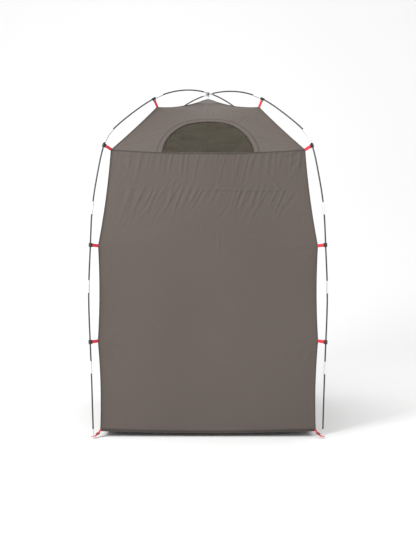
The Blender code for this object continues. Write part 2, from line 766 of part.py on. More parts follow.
def tab_mesh(name):
    """A webbing tab in a clip's frame, from the corner tape to its sewn loop round the clip's bar."""
    bore = CLIP_BAR_RADIUS + CLEARANCE
    outer = bore + WEBBING_THICKNESS
    start = -(STRAP_REACH - CLIP_BAR_TO_POLE - 0.0011)
    half = TAB_THICKNESS / 2
    notch = math.degrees(math.asin(half / outer))
    outline = arc(outer, -180 + notch, 180 - notch, 8) + [(start, half), (start, -half)]
    return prism(name, [outline, circle(bore, 8)], -WEBBING_WIDTH / 2, WEBBING_WIDTH / 2)


def ribbon(name, corner, line, width, low, high):
    """A strip along a line of (radius, height), with its faces at two distances outside that line."""
    side = Vector((0, 0, 1)).cross(outward(corner))
    rings = []
    for i, (r, z) in enumerate(line):
        a, b = line[max(i - 1, 0)], line[min(i + 1, len(line) - 1)]
        steps = [(r - a[0], z - a[1]), (b[0] - r, b[1] - z)]
        normals = [Vector((dz, -dr)).normalized() for dr, dz in steps if abs(dr) + abs(dz) > 1e-9]
        mean = sum(normals, Vector((0, 0))).normalized()
        reach = 1 / mean.dot(normals[0])
        ring = []
        for distance, across in ((low, -1), (high, -1), (high, 1), (low, 1)):
            offset = mean * distance * reach
            ring.append(in_plane(corner, r + offset.x, z + offset.y) + side * across * width / 2)
        rings.append(ring)
    return sweep(name, rings)


def make_corner_webbing(corner, finishes):
    """The tape on a corner seam with its four clip tabs, and the foot strap with a hole for the grommet."""
    name = f"corner_webbing_{corner}"
    diagonal = math.sqrt(2)
    foot = pole_frame(corner, ARCH_OF[corner].length)[0]
    foot_radius = math.hypot(foot.x, foot.y)
    slope = Vector((APEX[0] - CROWN[0], APEX[1] - CROWN[1])).normalized() * TAPE_END
    line = [(diagonal * w, z) for w, z in (HEM, KNEE, WAIST, SEAM, CROWN)]
    line.append((diagonal * CROWN[0] + slope.x, CROWN[1] + slope.y))
    low = 0.0005
    tape = add(name, ribbon(name, corner, line, TAPE_WIDTH, low, low + WEBBING_THICKNESS), None)
    flat_start = foot_radius - GROMMET_OUTER_RADIUS - 0.006
    flat_end = foot_radius + GROMMET_OUTER_RADIUS + 0.004
    strap_line = [
        (diagonal * HEM[0] + low + WEBBING_THICKNESS / 2, HEM_CORNER + 0.010),
        (diagonal * HEM[0] + 0.008, HEM_CORNER - 0.006),
        (flat_start, GROMMET_HEIGHT),
        (flat_end, GROMMET_HEIGHT),
    ]
    half = TAB_THICKNESS / 2
    strap = add("foot_strap", ribbon("foot_strap", corner, list(reversed(strap_line)), WEBBING_WIDTH, -half, half), None)
    tabs = []
    for level in ("knee", "waist", "shoulder", "crown"):
        tabs.append(add(f"tab_{level}", tab_mesh(f"tab_{level}"), None, clip_place(corner, level)))
    joined = add(name + "_joined", combine(name, tape, [strap, *tabs], "UNION"), None)
    hole = prism("grommet_hole", [circle(GROMMET_OUTER_RADIUS + CLEARANCE, 16)], -0.01, 0.01)
    tool = add("grommet_hole", hole, None, Matrix.Translation(grommet_centre(corner)))
    add(name, combine(name, joined, [tool], "DIFFERENCE"), finishes["webbing"])


def grommet_centre(corner):
    """On the pin's line, at the grommet's height."""
    arch = ARCH_OF[corner]
    radius = arch.at(arch.length)[0]
    lean = arch.tangent(arch.length)
    return in_plane(corner, radius + lean[0] / lean[1] * GROMMET_HEIGHT, GROMMET_HEIGHT)


def make_grommet(corner, finishes):
    half = GROMMET_THICKNESS / 2
    loops = [circle(GROMMET_OUTER_RADIUS, 16), circle(GROMMET_BORE_RADIUS, 16)]
    mesh = prism(f"grommet_{corner}", loops, -half, half)
    smooth(add(f"grommet_{corner}", mesh, finishes["metal"], Matrix.Translation(grommet_centre(corner))))


def make_corners(finishes):
    clip = clip_mesh()
    for corner in CORNERS:
        make_corner_webbing(corner, finishes)
        make_grommet(corner, finishes)
        for level in ("crown", "shoulder", "waist", "knee"):
            smooth(add(f"clip_{corner}_{level}", clip, finishes["clip"], clip_place(corner, level)))


# ---------------------------------------------------------------- apex, hanging ring and strap


def sideways():
    """The matrix that stands an outline up: its X becomes Y, its Y becomes Z and its thickness runs along X."""
    return Matrix((Vector((0, 1, 0)), Vector((0, 0, 1)), Vector((1, 0, 0)))).transposed().to_4x4()


def eye_centre():
    """The middle of the eye under the peak, where the hanging ring turns."""
    return Vector((0, 0, APEX[1] - EYE_DROP))


def make_apex(finishes):
    """A double hook over the upper pole, straddling the lower one, with a flange on the fabric and an eye below it."""
    upper_z = CROWN_HEIGHT - POLE_RADIUS
    across = Vector((0, 0, 1)).cross(outward("rear_right"))
    axes = Matrix((across, Vector((0, 0, 1)), outward("rear_right"))).transposed().to_4x4()
    at_crossing = Matrix.Translation((0, 0, upper_z)) @ axes
    bore = POLE_RADIUS + CLEARANCE
    outer = bore + HOOK_WALL
    bridge_top = -POLE_STACK - bore
    bridge_low = bridge_top - BRIDGE_THICKNESS
    hook = arc(outer, 0, HOOK_WRAP, 8) + list(reversed(arc(bore, 0, HOOK_WRAP, 8)))
    hook += [(bore, bridge_top), (-STEM_RADIUS, bridge_top), (-STEM_RADIUS, bridge_low), (outer, bridge_low)]
    inner = POLE_RADIUS + HOOK_FROM_LOWER_POLE
    spans = ((inner, inner + HOOK_WIDTH), (-inner - HOOK_WIDTH, -inner))
    pieces = [add("hook", prism("hook", [hook], low, high), None, at_crossing) for low, high in spans]
    inset = BRIDGE_THICKNESS / 8
    bar = rectangle(inset - STEM_RADIUS, STEM_RADIUS, bridge_low + inset, bridge_top - inset)
    bar_reach = inner + HOOK_WIDTH / 2
    pieces.append(add("bridge", prism("bridge", [bar], -bar_reach, bar_reach), None, at_crossing))
    flange_top = APEX[1] - FLANGE_DROP
    flange_low = flange_top - FLANGE_THICKNESS
    flange_middle = (flange_top + flange_low) / 2
    pieces.append(add("flange", prism("flange", [circle(FLANGE_RADIUS, 20)], flange_low, flange_top), None))
    plate = [
        rectangle(-LUG_HALF_WIDTH, LUG_HALF_WIDTH, -LUG_HALF_WIDTH, flange_middle - eye_centre().z),
        circle(EYE_RADIUS, 12),
    ]
    lug = prism("lug", plate, -LUG_HALF_THICKNESS, LUG_HALF_THICKNESS)
    pieces.append(add("lug", lug, None, Matrix.Translation(eye_centre()) @ sideways()))
    post_top = upper_z + (bridge_low + bridge_top) / 2
    post = add("post", prism("post", [circle(STEM_RADIUS * 0.9, 12)], flange_middle, post_top), None)
    add("apex_hook", combine("apex_hook", post, pieces, "UNION"), finishes["pale_plastic"])


def make_ring(finishes):
    """The hanging ring, whose wire passes through the eye along X."""
    steps, sides = 24, 8
    centre = eye_centre() - Vector((0, 0, RING_RADIUS))
    points = []
    for i in range(steps):
        turn = 2 * math.pi * i / steps
        out = Vector((math.cos(turn), 0, math.sin(turn)))
        for k in range(sides):
            a = 2 * math.pi * k / sides
            points.append(centre + out * (RING_RADIUS + RING_WIRE * math.cos(a)) + Vector((0, RING_WIRE * math.sin(a), 0)))
    faces = []
    for i in range(steps):
        for k in range(sides):
            nxt, up = (i + 1) % steps, (k + 1) % sides
            faces.append((i * sides + k, nxt * sides + k, nxt * sides + up, i * sides + up))
    ring = add("hanging_ring", mesh_of("hanging_ring", points, faces), finishes["metal"])
    set_origin(smooth(ring, 60), eye_centre())


def hanger_pivot():
    """Where the inside strap hangs under the rear roof panel."""
    slope = math.radians(roof_slopes()[0])
    z = CROWN[1] - HANGER_FROM_CROWN_LEVEL * math.sin(slope)
    drop = FABRIC_THICKNESS + HANGER_DROP
    return Vector((0, roof_middle(z) - drop * math.sin(slope), z - drop * math.cos(slope)))


def make_hanger(finishes):
    """A webbing strap with a sewn end loop, hanging straight down from its pivot."""
    half = HANGER_THICKNESS / 2
    outer_radius = HANGER_LOOP_RADIUS + HANGER_THICKNESS
    centre = (0.0, -HANGER_LENGTH)
    rings = [circle(outer_radius, 12, centre), circle(HANGER_LOOP_RADIUS, 12, centre)]
    loop = add("end_loop", prism("end_loop", rings, -HANGER_WIDTH / 2, HANGER_WIDTH / 2), None)
    outline = rectangle(-half, half, centre[1] + HANGER_LOOP_RADIUS + half, 0.0)
    strip = add("strip", prism("strip", [outline], -HANGER_WIDTH / 2, HANGER_WIDTH / 2), None)
    mesh = combine("hanging_strap", strip, [loop], "UNION")
    add("hanging_strap", mesh, finishes["dark_webbing"], Matrix.Translation(hanger_pivot()) @ sideways())


# ---------------------------------------------------------------- zip and door ties


def zip_direction():
    """Down the zip, which lies in the straight middle of the rear wall."""
    return Vector((0, HEM[0] - SEAM[0], HEM[1] - SEAM[1])).normalized()


def zip_frame(below_seam, lift):
    """Axes on the zip line: X across, Y up the zip, Z away from the tent."""
    up = -zip_direction()
    across = Vector((-1, 0, 0))
    out = across.cross(up)
    origin = Vector((0, SEAM[0], SEAM[1])) - up * below_seam + out * lift
    return Matrix.Translation(origin) @ Matrix((across, up, out)).transposed().to_4x4()


def slider_frame():
    return zip_frame(DOOR_TOP_DROP + SLIDER_BELOW_DOOR_TOP, SLIDER_LIFT)


def pull_pivot():
    """The middle of the pin that the zip pull turns on."""
    return slider_frame() @ Vector((0, -SLIDER_HEIGHT / 2 + 0.003, SLIDER_DEPTH))


def make_zip(finishes):
    """The slider's body with its two ears and the pin, and the pull that swings on the pin."""
    half_width_, half_height = SLIDER_WIDTH / 2, SLIDER_HEIGHT / 2
    nose = half_width_ * 0.62
    outline = [
        (-nose, -half_height),
        (nose, -half_height),
        (half_width_, half_height * 0.3),
        (half_width_, half_height),
        (-half_width_, half_height),
        (-half_width_, half_height * 0.3),
    ]
    plate_top = 0.0028
    base = add("slider_plate", prism("slider_plate", [outline], 0.0, plate_top), None, slider_frame())
    pin_y = -half_height + 0.003
    ear = [(pin_y - 0.0022, plate_top - 0.0005), (pin_y + 0.0022, plate_top - 0.0005)]
    ear += arc(0.0022, 0, 180, 6, (pin_y, SLIDER_DEPTH))
    turn = sideways()
    ear_inner, ear_outer = 0.0018, 0.0030
    parts = []
    for label, low, high in (("a", ear_inner, ear_outer), ("b", -ear_outer, -ear_inner)):
        parts.append(add(f"ear_{label}", prism(f"ear_{label}", [ear], low, high), None, slider_frame() @ turn))
    pin = prism("pin", [circle(PULL_PIN_RADIUS, 8, (pin_y, SLIDER_DEPTH))], -ear_inner - 0.0005, ear_inner + 0.0005)
    parts.append(add("pin", pin, None, slider_frame() @ turn))
    slider = add("zip_slider", combine("zip_slider", base, parts, "UNION"), finishes["dark_metal"])
    set_origin(slider, slider_frame().translation)
    make_pull(finishes, ear_inner)


def make_pull(finishes, ear_inner):
    """An eye on the pin and a flat tag, hanging down the door."""
    width = 2 * (ear_inner - CLEARANCE)
    half = PULL_THICKNESS / 2
    eye_outer = PULL_EYE_RADIUS + 0.0007
    neck_end = -0.0075
    notch = math.degrees(math.asin(half / eye_outer))
    outline = arc(eye_outer, -90 + notch, 270 - notch, 10) + [(-half, neck_end), (half, neck_end)]
    flat_turn = Matrix((Vector((0, 0, 1)), Vector((0, 1, 0)), Vector((-1, 0, 0)))).transposed().to_4x4()
    place = Matrix.Translation(pull_pivot()) @ slider_frame().to_3x3().to_4x4()
    eye = prism("pull_eye", [outline, circle(PULL_EYE_RADIUS, 10)], -width / 2, width / 2)
    base = add("pull_eye", eye, None, place @ flat_turn)
    tag_half = PULL_WIDTH / 2
    tag = [(-tag_half, -PULL_LENGTH), (tag_half, -PULL_LENGTH), (tag_half, neck_end + 0.002), (-tag_half, neck_end + 0.002)]
    slot = rectangle(-tag_half / 2, tag_half / 2, -PULL_LENGTH + 0.003, -PULL_LENGTH + 0.007)
    plate = add("pull_tag", prism("pull_tag", [tag, slot], -half, half), None, place)
    pull = add("zip_pull", combine("zip_pull", base, [plate], "UNION"), finishes["dark_metal"])
    set_origin(pull, pull_pivot())


def tie_pivot(label):
    """Where a door tie hangs, outside the fixed edge of the rear wall."""
    x = {"left": -TIE_X, "right": TIE_X}[label]
    wall = max(half_width(TIE_TOP), half_width(TIE_TOP - TIE_LENGTH))
    return Vector((x, wall + TIE_TOGGLE_RADIUS + 2 * CLEARANCE, TIE_TOP))


def make_ties(finishes):
    """Two webbing ties with toggles that hold the rolled door leaves."""
    half = TIE_THICKNESS / 2
    for label in ("left", "right"):
        place = Matrix.Translation(tie_pivot(label)) @ sideways()
        strip = prism("tie_strip", [rectangle(-half, half, -TIE_LENGTH, 0.0)], -TIE_WIDTH / 2, TIE_WIDTH / 2)
        base = add("tie_strip", strip, None, place)
        toggle = prism("toggle", [circle(TIE_TOGGLE_RADIUS, 12, (0.0, -TIE_LENGTH))], -TIE_TOGGLE_LENGTH / 2, TIE_TOGGLE_LENGTH / 2)
        parts = [add("toggle", toggle, None, place)]
        tie = add(f"door_tie_{label}", combine(f"door_tie_{label}", base, parts, "UNION"), finishes["dark_webbing"])
        set_origin(tie, tie_pivot(label))


# ---------------------------------------------------------------- the whole tent


def clear_scene():
    for obj in list(bpy.data.objects):
        bpy.data.objects.remove(obj)


def make_finishes():
    return {
        "fabric": material("fabric", (0.17, 0.145, 0.13), 0.75),
        "net": material("net", (0.10, 0.09, 0.065), 0.8),
        "webbing": material("webbing", (0.62, 0.02, 0.04), 0.7),
        "dark_webbing": material("dark_webbing", (0.06, 0.055, 0.05), 0.8),
        "clip": material("clip", (0.018, 0.022, 0.022), 0.5),
        "pale_plastic": material("pale_plastic", (0.62, 0.66, 0.66), 0.45),
        "pole": material("pole", (0.03, 0.035, 0.035), 0.4),
        "metal": material("metal", (0.78, 0.80, 0.82), 0.3, 1.0),
        "dark_metal": material("dark_metal", (0.05, 0.05, 0.05), 0.45, 0.6),
        "cord": material("cord", (0.7, 0.7, 0.68), 0.8),
    }


def main():
    clear_scene()
    finishes = make_finishes()
    make_pole("a", "front_left", "rear_right", finishes)
    make_pole("b", "front_right", "rear_left", finishes)
    make_walls(finishes)
    make_door_leaves(finishes)
    make_roof(finishes)
    make_window(finishes)
    make_corners(finishes)
    make_apex(finishes)
    make_ring(finishes)
    make_hanger(finishes)
    make_zip(finishes)
    make_ties(finishes)


main()
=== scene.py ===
"""Finished model of a floorless privacy shower tent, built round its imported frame.

Metres, +Z up. The window side faces -Y and the zipped door faces +Y. Every sheet of cloth, strap and pole
here follows the frame's own levels and axes, so the pieces sit where the frame's pieces sit.
"""

import json
import logging
import math
from collections.abc import Callable, Sequence
from dataclasses import dataclass, field
from enum import Enum

import bmesh
import bpy
import numpy as np
from mathutils import Matrix, Vector


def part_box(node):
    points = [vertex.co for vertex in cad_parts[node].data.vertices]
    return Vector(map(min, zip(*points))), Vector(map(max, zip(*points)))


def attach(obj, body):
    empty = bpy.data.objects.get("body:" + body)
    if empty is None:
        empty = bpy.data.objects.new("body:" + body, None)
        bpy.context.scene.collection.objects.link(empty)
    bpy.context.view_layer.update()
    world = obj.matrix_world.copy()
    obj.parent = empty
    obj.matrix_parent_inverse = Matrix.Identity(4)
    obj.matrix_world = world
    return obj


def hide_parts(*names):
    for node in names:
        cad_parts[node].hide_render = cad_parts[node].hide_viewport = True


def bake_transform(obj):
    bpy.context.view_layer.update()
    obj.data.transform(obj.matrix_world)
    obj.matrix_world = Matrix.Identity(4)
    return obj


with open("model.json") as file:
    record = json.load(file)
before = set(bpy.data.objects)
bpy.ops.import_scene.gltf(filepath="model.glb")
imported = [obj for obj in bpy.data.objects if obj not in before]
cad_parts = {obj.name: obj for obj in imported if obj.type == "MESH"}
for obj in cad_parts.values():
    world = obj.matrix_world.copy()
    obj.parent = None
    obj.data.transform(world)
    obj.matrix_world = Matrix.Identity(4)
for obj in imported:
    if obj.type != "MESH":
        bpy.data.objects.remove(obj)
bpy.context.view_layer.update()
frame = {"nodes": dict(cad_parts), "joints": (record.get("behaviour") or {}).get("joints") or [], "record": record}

LOG = logging.getLogger("tent")
ROOT = "tent"
Colour = tuple[float, float, float]
Line = np.ndarray
UP = Vector((0.0, 0.0, 1.0))
RIGHT = Vector((1.0, 0.0, 0.0))
TINY = 1e-12  # keeps a division from failing
WAVE_SCALE = math.pi / 10  # a wave texture's scale for ribs that are a metre apart


# ------------------------------------------------------------------ names of sides, corners and finishes


class Side(Enum):
    """The four sides, by how far each is turned from the window side, in degrees."""

    FRONT = 0.0
    RIGHT = 90.0
    REAR = 180.0
    LEFT = -90.0

    def place(self, points: np.ndarray) -> np.ndarray:
        """Turns points from the window side's frame to this side.

        Args:
            points: An array whose last axis is X, Y and Z.

        Returns:
            The turned points.
        """
        turn = math.radians(self.value)
        c, s = math.cos(turn), math.sin(turn)
        return points @ np.array([[c, s, 0.0], [-s, c, 0.0], [0.0, 0.0, 1.0]])


class Corner(Enum):
    """The four corners, by the signs of X and Y."""

    FRONT_LEFT = (-1, -1)
    FRONT_RIGHT = (1, -1)
    REAR_RIGHT = (1, 1)
    REAR_LEFT = (-1, 1)

    @property
    def label(self) -> str:
        """The corner's part of a node's name."""
        return self.name.lower()

    @property
    def outward(self) -> Vector:
        """The level direction from the middle of the tent to the corner."""
        return Vector((*self.value, 0.0)).normalized()


class Level(Enum):
    """The four clips of a corner, from the top down."""

    CROWN = "crown"
    SHOULDER = "shoulder"
    WAIST = "waist"
    KNEE = "knee"


class Slot(Enum):
    """The record's material slots."""

    FABRIC = "fabric"
    NET = "net"
    WEBBING = "webbing"
    DARK_WEBBING = "dark_webbing"
    CLIP = "clip"
    PALE_PLASTIC = "pale_plastic"
    POLE = "pole"
    METAL = "metal"
    DARK_METAL = "dark_metal"
    CORD = "cord"


# ------------------------------------------------------------------ finishes


class NodeTree:
    """Base of the classes that put a tree of nodes together."""

    prefix = ""
    tree: bpy.types.NodeTree

    def node(self, kind: str, **settings: object) -> bpy.types.Node:
        """Adds a node.

        Args:
            kind: The node's type, without the tree's prefix.
            settings: Values for the node's own properties.

        Returns:
            The node.
        """
        made = self.tree.nodes.new(self.prefix + kind)
        for key, value in settings.items():
            setattr(made, key, value)
        return made

    def link(self, output: bpy.types.NodeSocket, target: bpy.types.NodeSocket) -> None:
        """Joins two sockets."""
        self.tree.links.new(output, target)


class Shader(NodeTree):
    """A Principled material that is put together node by node."""

    prefix = "ShaderNode"

    def __init__(self, name: str, colour: Colour, roughness: float, metallic: float = 0.0) -> None:
        """Starts a plain material.

        Args:
            name: The material's name.
            colour: Its linear base colour.
            roughness: Its roughness.
            metallic: 1 for bare metal.
        """
        self.material = bpy.data.materials.new(name)
        self.material.use_nodes = True
        self.tree = self.material.node_tree
        self.principled = self.tree.nodes["Principled BSDF"]
        self.principled.inputs["Base Color"].default_value = (*colour, 1.0)
        self.principled.inputs["Roughness"].default_value = roughness
        self.principled.inputs["Metallic"].default_value = metallic
        self.coordinates = self.node("TexCoord")

    def set(self, **values: float) -> None:
        """Sets plain values on the shader's sockets, whose names are given with _ for a space."""
        for key, value in values.items():
            self.principled.inputs[key.replace("_", " ")].default_value = value

    def noise(self, scale: float, detail: float, stretch: Colour = (1.0, 1.0, 1.0)) -> bpy.types.NodeSocket:
        """Cloudy noise in object space.

        Args:
            scale: Cells in a metre.
            detail: Octaves.
            stretch: How the pattern is scaled along X, Y and Z.

        Returns:
            The noise's value.
        """
        mapping = self.node("Mapping")
        mapping.inputs["Scale"].default_value = stretch
        self.link(self.coordinates.outputs["Object"], mapping.inputs["Vector"])
        texture = self.node("TexNoise")
        texture.inputs["Scale"].default_value = scale
        texture.inputs["Detail"].default_value = detail
        self.link(mapping.outputs["Vector"], texture.inputs["Vector"])
        return texture.outputs["Fac"]

    def ribs(self, period: float, direction: str, source: str = "UV") -> bpy.types.NodeSocket:
        """Even ribs, such as threads.

        Args:
            period: From one rib to the next, in metres.
            direction: X, Y or Z, across the ribs.
            source: UV, whose unit is the metre, or Object.

        Returns:
            The height of the ribs.
        """
        texture = self.node("TexWave", bands_direction=direction)
        texture.inputs["Scale"].default_value = WAVE_SCALE / period
        self.link(self.coordinates.outputs[source], texture.inputs["Vector"])
        return texture.outputs["Fac"]

    def math(self, operation: str, first: object, second: object) -> bpy.types.NodeSocket:
        """Adds a Math node.

        Args:
            operation: Its operation.
            first: A socket or a number.
            second: A socket or a number.

        Returns:
            The result.
        """
        made = self.node("Math", operation=operation)
        for socket, value in zip(made.inputs, (first, second)):
            if isinstance(value, (int, float)):
                socket.default_value = value
            else:
                self.link(value, socket)
        return made.outputs["Value"]

    def blend_colours(
        self, share: bpy.types.NodeSocket, low: float, high: float, dark: Colour, light: Colour
    ) -> None:
        """Drives the base colour from one colour to another.

        Args:
            share: What the colour follows.
            low: The share that gives the first colour.
            high: The share that gives the second.
            dark: The first colour.
            light: The second colour.
        """
        ramp = self.node("ValToRGB")
        for stop, place, colour in zip(ramp.color_ramp.elements, (low, high), (dark, light)):
            stop.position = place
            stop.color = (*colour, 1.0)
        self.link(share, ramp.inputs["Fac"])
        self.link(ramp.outputs["Color"], self.principled.inputs["Base Color"])

    def vary_roughness(self, share: bpy.types.NodeSocket, low: float, high: float) -> None:
        """Drives the roughness between two values."""
        spread = self.node("MapRange")
        spread.inputs["To Min"].default_value = low
        spread.inputs["To Max"].default_value = high
        self.link(share, spread.inputs["Value"])
        self.link(spread.outputs["Result"], self.principled.inputs["Roughness"])

    def bump(self, height: bpy.types.NodeSocket, depth: float, strength: float = 1.0) -> None:
        """Adds relief on top of any relief already there.

        Args:
            height: The relief.
            depth: Its depth in metres.
            strength: Its strength.
        """
        made = self.node("Bump")
        made.inputs["Distance"].default_value = depth
        made.inputs["Strength"].default_value = strength
        self.link(height, made.inputs["Height"])
        target = self.principled.inputs["Normal"]
        if target.is_linked:
            self.link(target.links[0].from_socket, made.inputs["Normal"])
        self.link(made.outputs["Normal"], target)


@dataclass(frozen=True)
class Finish:
    """A material's name, and the two colours that its pattern runs between."""

    name: str
    dark: Colour
    light: Colour

    def build(self) -> bpy.types.Material:
        """Makes the material."""
        raise NotImplementedError


@dataclass(frozen=True)
class ClothFinish(Finish):
    """Coated plain-weave cloth, with faint creases and clouds of colour."""

    roughness: float = 0.7
    thread: float = 0.0008
    crease_depth: float = 0.0012

    def build(self) -> bpy.types.Material:
        """Makes the material."""
        shader = Shader(self.name, self.light, self.roughness)
        shader.set(Sheen_Weight=0.03, Sheen_Roughness=0.4, Specular_IOR_Level=0.22)
        clouds = shader.noise(1.6, 2.0)
        shader.blend_colours(clouds, 0.25, 0.75, self.dark, self.light)
        shader.vary_roughness(shader.noise(40.0, 2.0), self.roughness - 0.08, self.roughness + 0.08)
        shader.bump(shader.noise(26.0, 5.0, (1.0, 1.0, 0.55)), self.crease_depth, 0.55)
        weave = shader.math("ADD", shader.ribs(self.thread, "X"), shader.ribs(self.thread, "Y"))
        shader.bump(weave, 0.00006, 0.5)
        return shader.material


@dataclass(frozen=True)
class NetFinish(Finish):
    """Fine see-through mesh."""

    solid: float
    cell: float = 0.0016

    def build(self) -> bpy.types.Material:
        """Makes the material."""
        shader = Shader(self.name, self.light, 0.85)
        shader.set(Alpha=self.solid, Specular_IOR_Level=0.2)
        threads = shader.math("MAXIMUM", shader.ribs(self.cell, "X"), shader.ribs(self.cell, "Y"))
        clouds = shader.math("MULTIPLY", shader.noise(9.0, 4.0, (1.0, 1.0, 3.0)), threads)
        shader.blend_colours(clouds, 0.15, 0.75, self.dark, self.light)
        shader.bump(threads, 0.0002, 0.5)
        return shader.material


@dataclass(frozen=True)
class WebbingFinish(Finish):
    """Woven strap with ribs across it."""

    rib: float = 0.0014

    def build(self) -> bpy.types.Material:
        """Makes the material."""
        shader = Shader(self.name, self.light, 0.7)
        shader.set(Sheen_Weight=0.2, Sheen_Roughness=0.5)
        ribs = shader.ribs(self.rib, "Y")
        threads = shader.ribs(self.rib * 0.7, "X")
        cloth = shader.math("MULTIPLY", ribs, threads)
        mottled = shader.math("MULTIPLY", shader.noise(150.0, 2.0), 0.6)
        shader.blend_colours(shader.math("ADD", cloth, mottled), 0.1, 0.9, self.dark, self.light)
        shader.bump(cloth, 0.0003, 0.7)
        return shader.material


@dataclass(frozen=True)
class MouldedFinish(Finish):
    """Moulded nylon with a fine spark-eroded grain and paler, rubbed places."""

    roughness: float = 0.48
    through: float = 0.0

    def build(self) -> bpy.types.Material:
        """Makes the material."""
        shader = Shader(self.name, self.dark, self.roughness)
        if self.through:
            shader.set(Transmission_Weight=self.through, IOR=1.5)
        shader.blend_colours(shader.noise(220.0, 4.0), 0.45, 0.85, self.dark, self.light)
        shader.vary_roughness(shader.noise(400.0, 2.0), self.roughness - 0.1, self.roughness + 0.12)
        shader.bump(shader.noise(1800.0, 2.0), 0.00008, 0.5)
        return shader.material


@dataclass(frozen=True)
class PoleFinish(Finish):
    """Pultruded glass fibre: long fine streaks under a gloss skin."""

    def build(self) -> bpy.types.Material:
        """Makes the material."""
        shader = Shader(self.name, self.light, 0.36)
        streaks = shader.noise(260.0, 3.0, (1.0, 1.0, 0.04))
        shader.blend_colours(streaks, 0.35, 0.7, self.dark, self.light)
        shader.vary_roughness(streaks, 0.28, 0.46)
        shader.bump(streaks, 0.00005, 0.4)
        return shader.material


@dataclass(frozen=True)
class MetalFinish(Finish):
    """Drawn or turned metal with fine scratches and a slightly uneven polish."""

    roughness: float
    metallic: float = 1.0

    def build(self) -> bpy.types.Material:
        """Makes the material."""
        shader = Shader(self.name, self.light, self.roughness, self.metallic)
        marks = shader.noise(700.0, 4.0, (1.0, 1.0, 0.12))
        shader.blend_colours(marks, 0.3, 0.7, self.dark, self.light)
        shader.vary_roughness(shader.noise(90.0, 3.0), self.roughness - 0.08, self.roughness + 0.14)
        shader.bump(marks, 0.00003, 0.4)
        return shader.material


@dataclass(frozen=True)
class BraidFinish(Finish):
    """Braided cord cover."""

    def build(self) -> bpy.types.Material:
        """Makes the material."""
        shader = Shader(self.name, self.light, 0.8)
        ribs = shader.ribs(0.0012, "Z", "Object")
        shader.blend_colours(ribs, 0.2, 0.8, self.dark, self.light)
        shader.bump(ribs, 0.0002, 0.6)
        return shader.material


FINISHES = {
    Slot.FABRIC: ClothFinish("taupe_taffeta", (0.0925, 0.0755, 0.0660), (0.1010, 0.0830, 0.0730)),
    Slot.NET: NetFinish("dark_net", (0.055, 0.048, 0.034), (0.105, 0.094, 0.070), 0.62),
    Slot.WEBBING: WebbingFinish("red_webbing", (0.42, 0.010, 0.022), (0.78, 0.022, 0.050)),
    Slot.DARK_WEBBING: WebbingFinish("grey_webbing", (0.030, 0.027, 0.024), (0.060, 0.055, 0.050)),
    Slot.CLIP: MouldedFinish("black_nylon", (0.010, 0.016, 0.015), (0.030, 0.038, 0.036)),
    Slot.PALE_PLASTIC: MouldedFinish("pale_nylon", (0.60, 0.68, 0.68), (0.80, 0.86, 0.86), 0.35, 0.25),
    Slot.POLE: PoleFinish("black_glass_fibre", (0.014, 0.018, 0.018), (0.036, 0.042, 0.042)),
    Slot.METAL: MetalFinish("drawn_aluminium", (0.62, 0.66, 0.66), (0.86, 0.90, 0.90), 0.32),
    Slot.DARK_METAL: MetalFinish("dark_zip_metal", (0.025, 0.025, 0.025), (0.08, 0.08, 0.08), 0.42, 0.7),
    Slot.CORD: BraidFinish("pale_braid", (0.42, 0.42, 0.40), (0.72, 0.72, 0.69)),
}
HEM_FINISH = ClothFinish("taupe_binding", (0.046, 0.038, 0.033), (0.060, 0.050, 0.045), 0.7, 0.0007, 0.0004)
# A paler cloth round the peak: a painted highlight where the top of the roof takes the light.
PEAK_HIGHLIGHT_FINISH = ClothFinish(
    "pale_reinforcement", (0.105, 0.090, 0.082), (0.135, 0.120, 0.110), 0.6, 0.0008, 0.0006
)
THREAD_FINISH = BraidFinish("taupe_thread", (0.045, 0.038, 0.033), (0.085, 0.072, 0.064))


class Palette:
    """The materials of the tent, made once each."""

    def __init__(self) -> None:
        """Makes every material."""
        self.by_slot = {slot: finish.build() for slot, finish in FINISHES.items()}
        self.hem = HEM_FINISH.build()
        # Painted highlight: the paler cloth of the sheet round the peak.
        self.peak = PEAK_HIGHLIGHT_FINISH.build()
        self.thread = THREAD_FINISH.build()

    def dress_frame_nodes(self) -> None:
        """Gives every node that still shows its slot's material."""
        slots = {row["node"]: row["material_slot"] for row in frame["record"]["subparts"]}
        for name, node in frame["nodes"].items():
            if node.hide_render:
                continue
            node.data.materials.clear()
            node.data.materials.append(self.by_slot[Slot(slots[name])])


# ------------------------------------------------------------------ creases in cloth


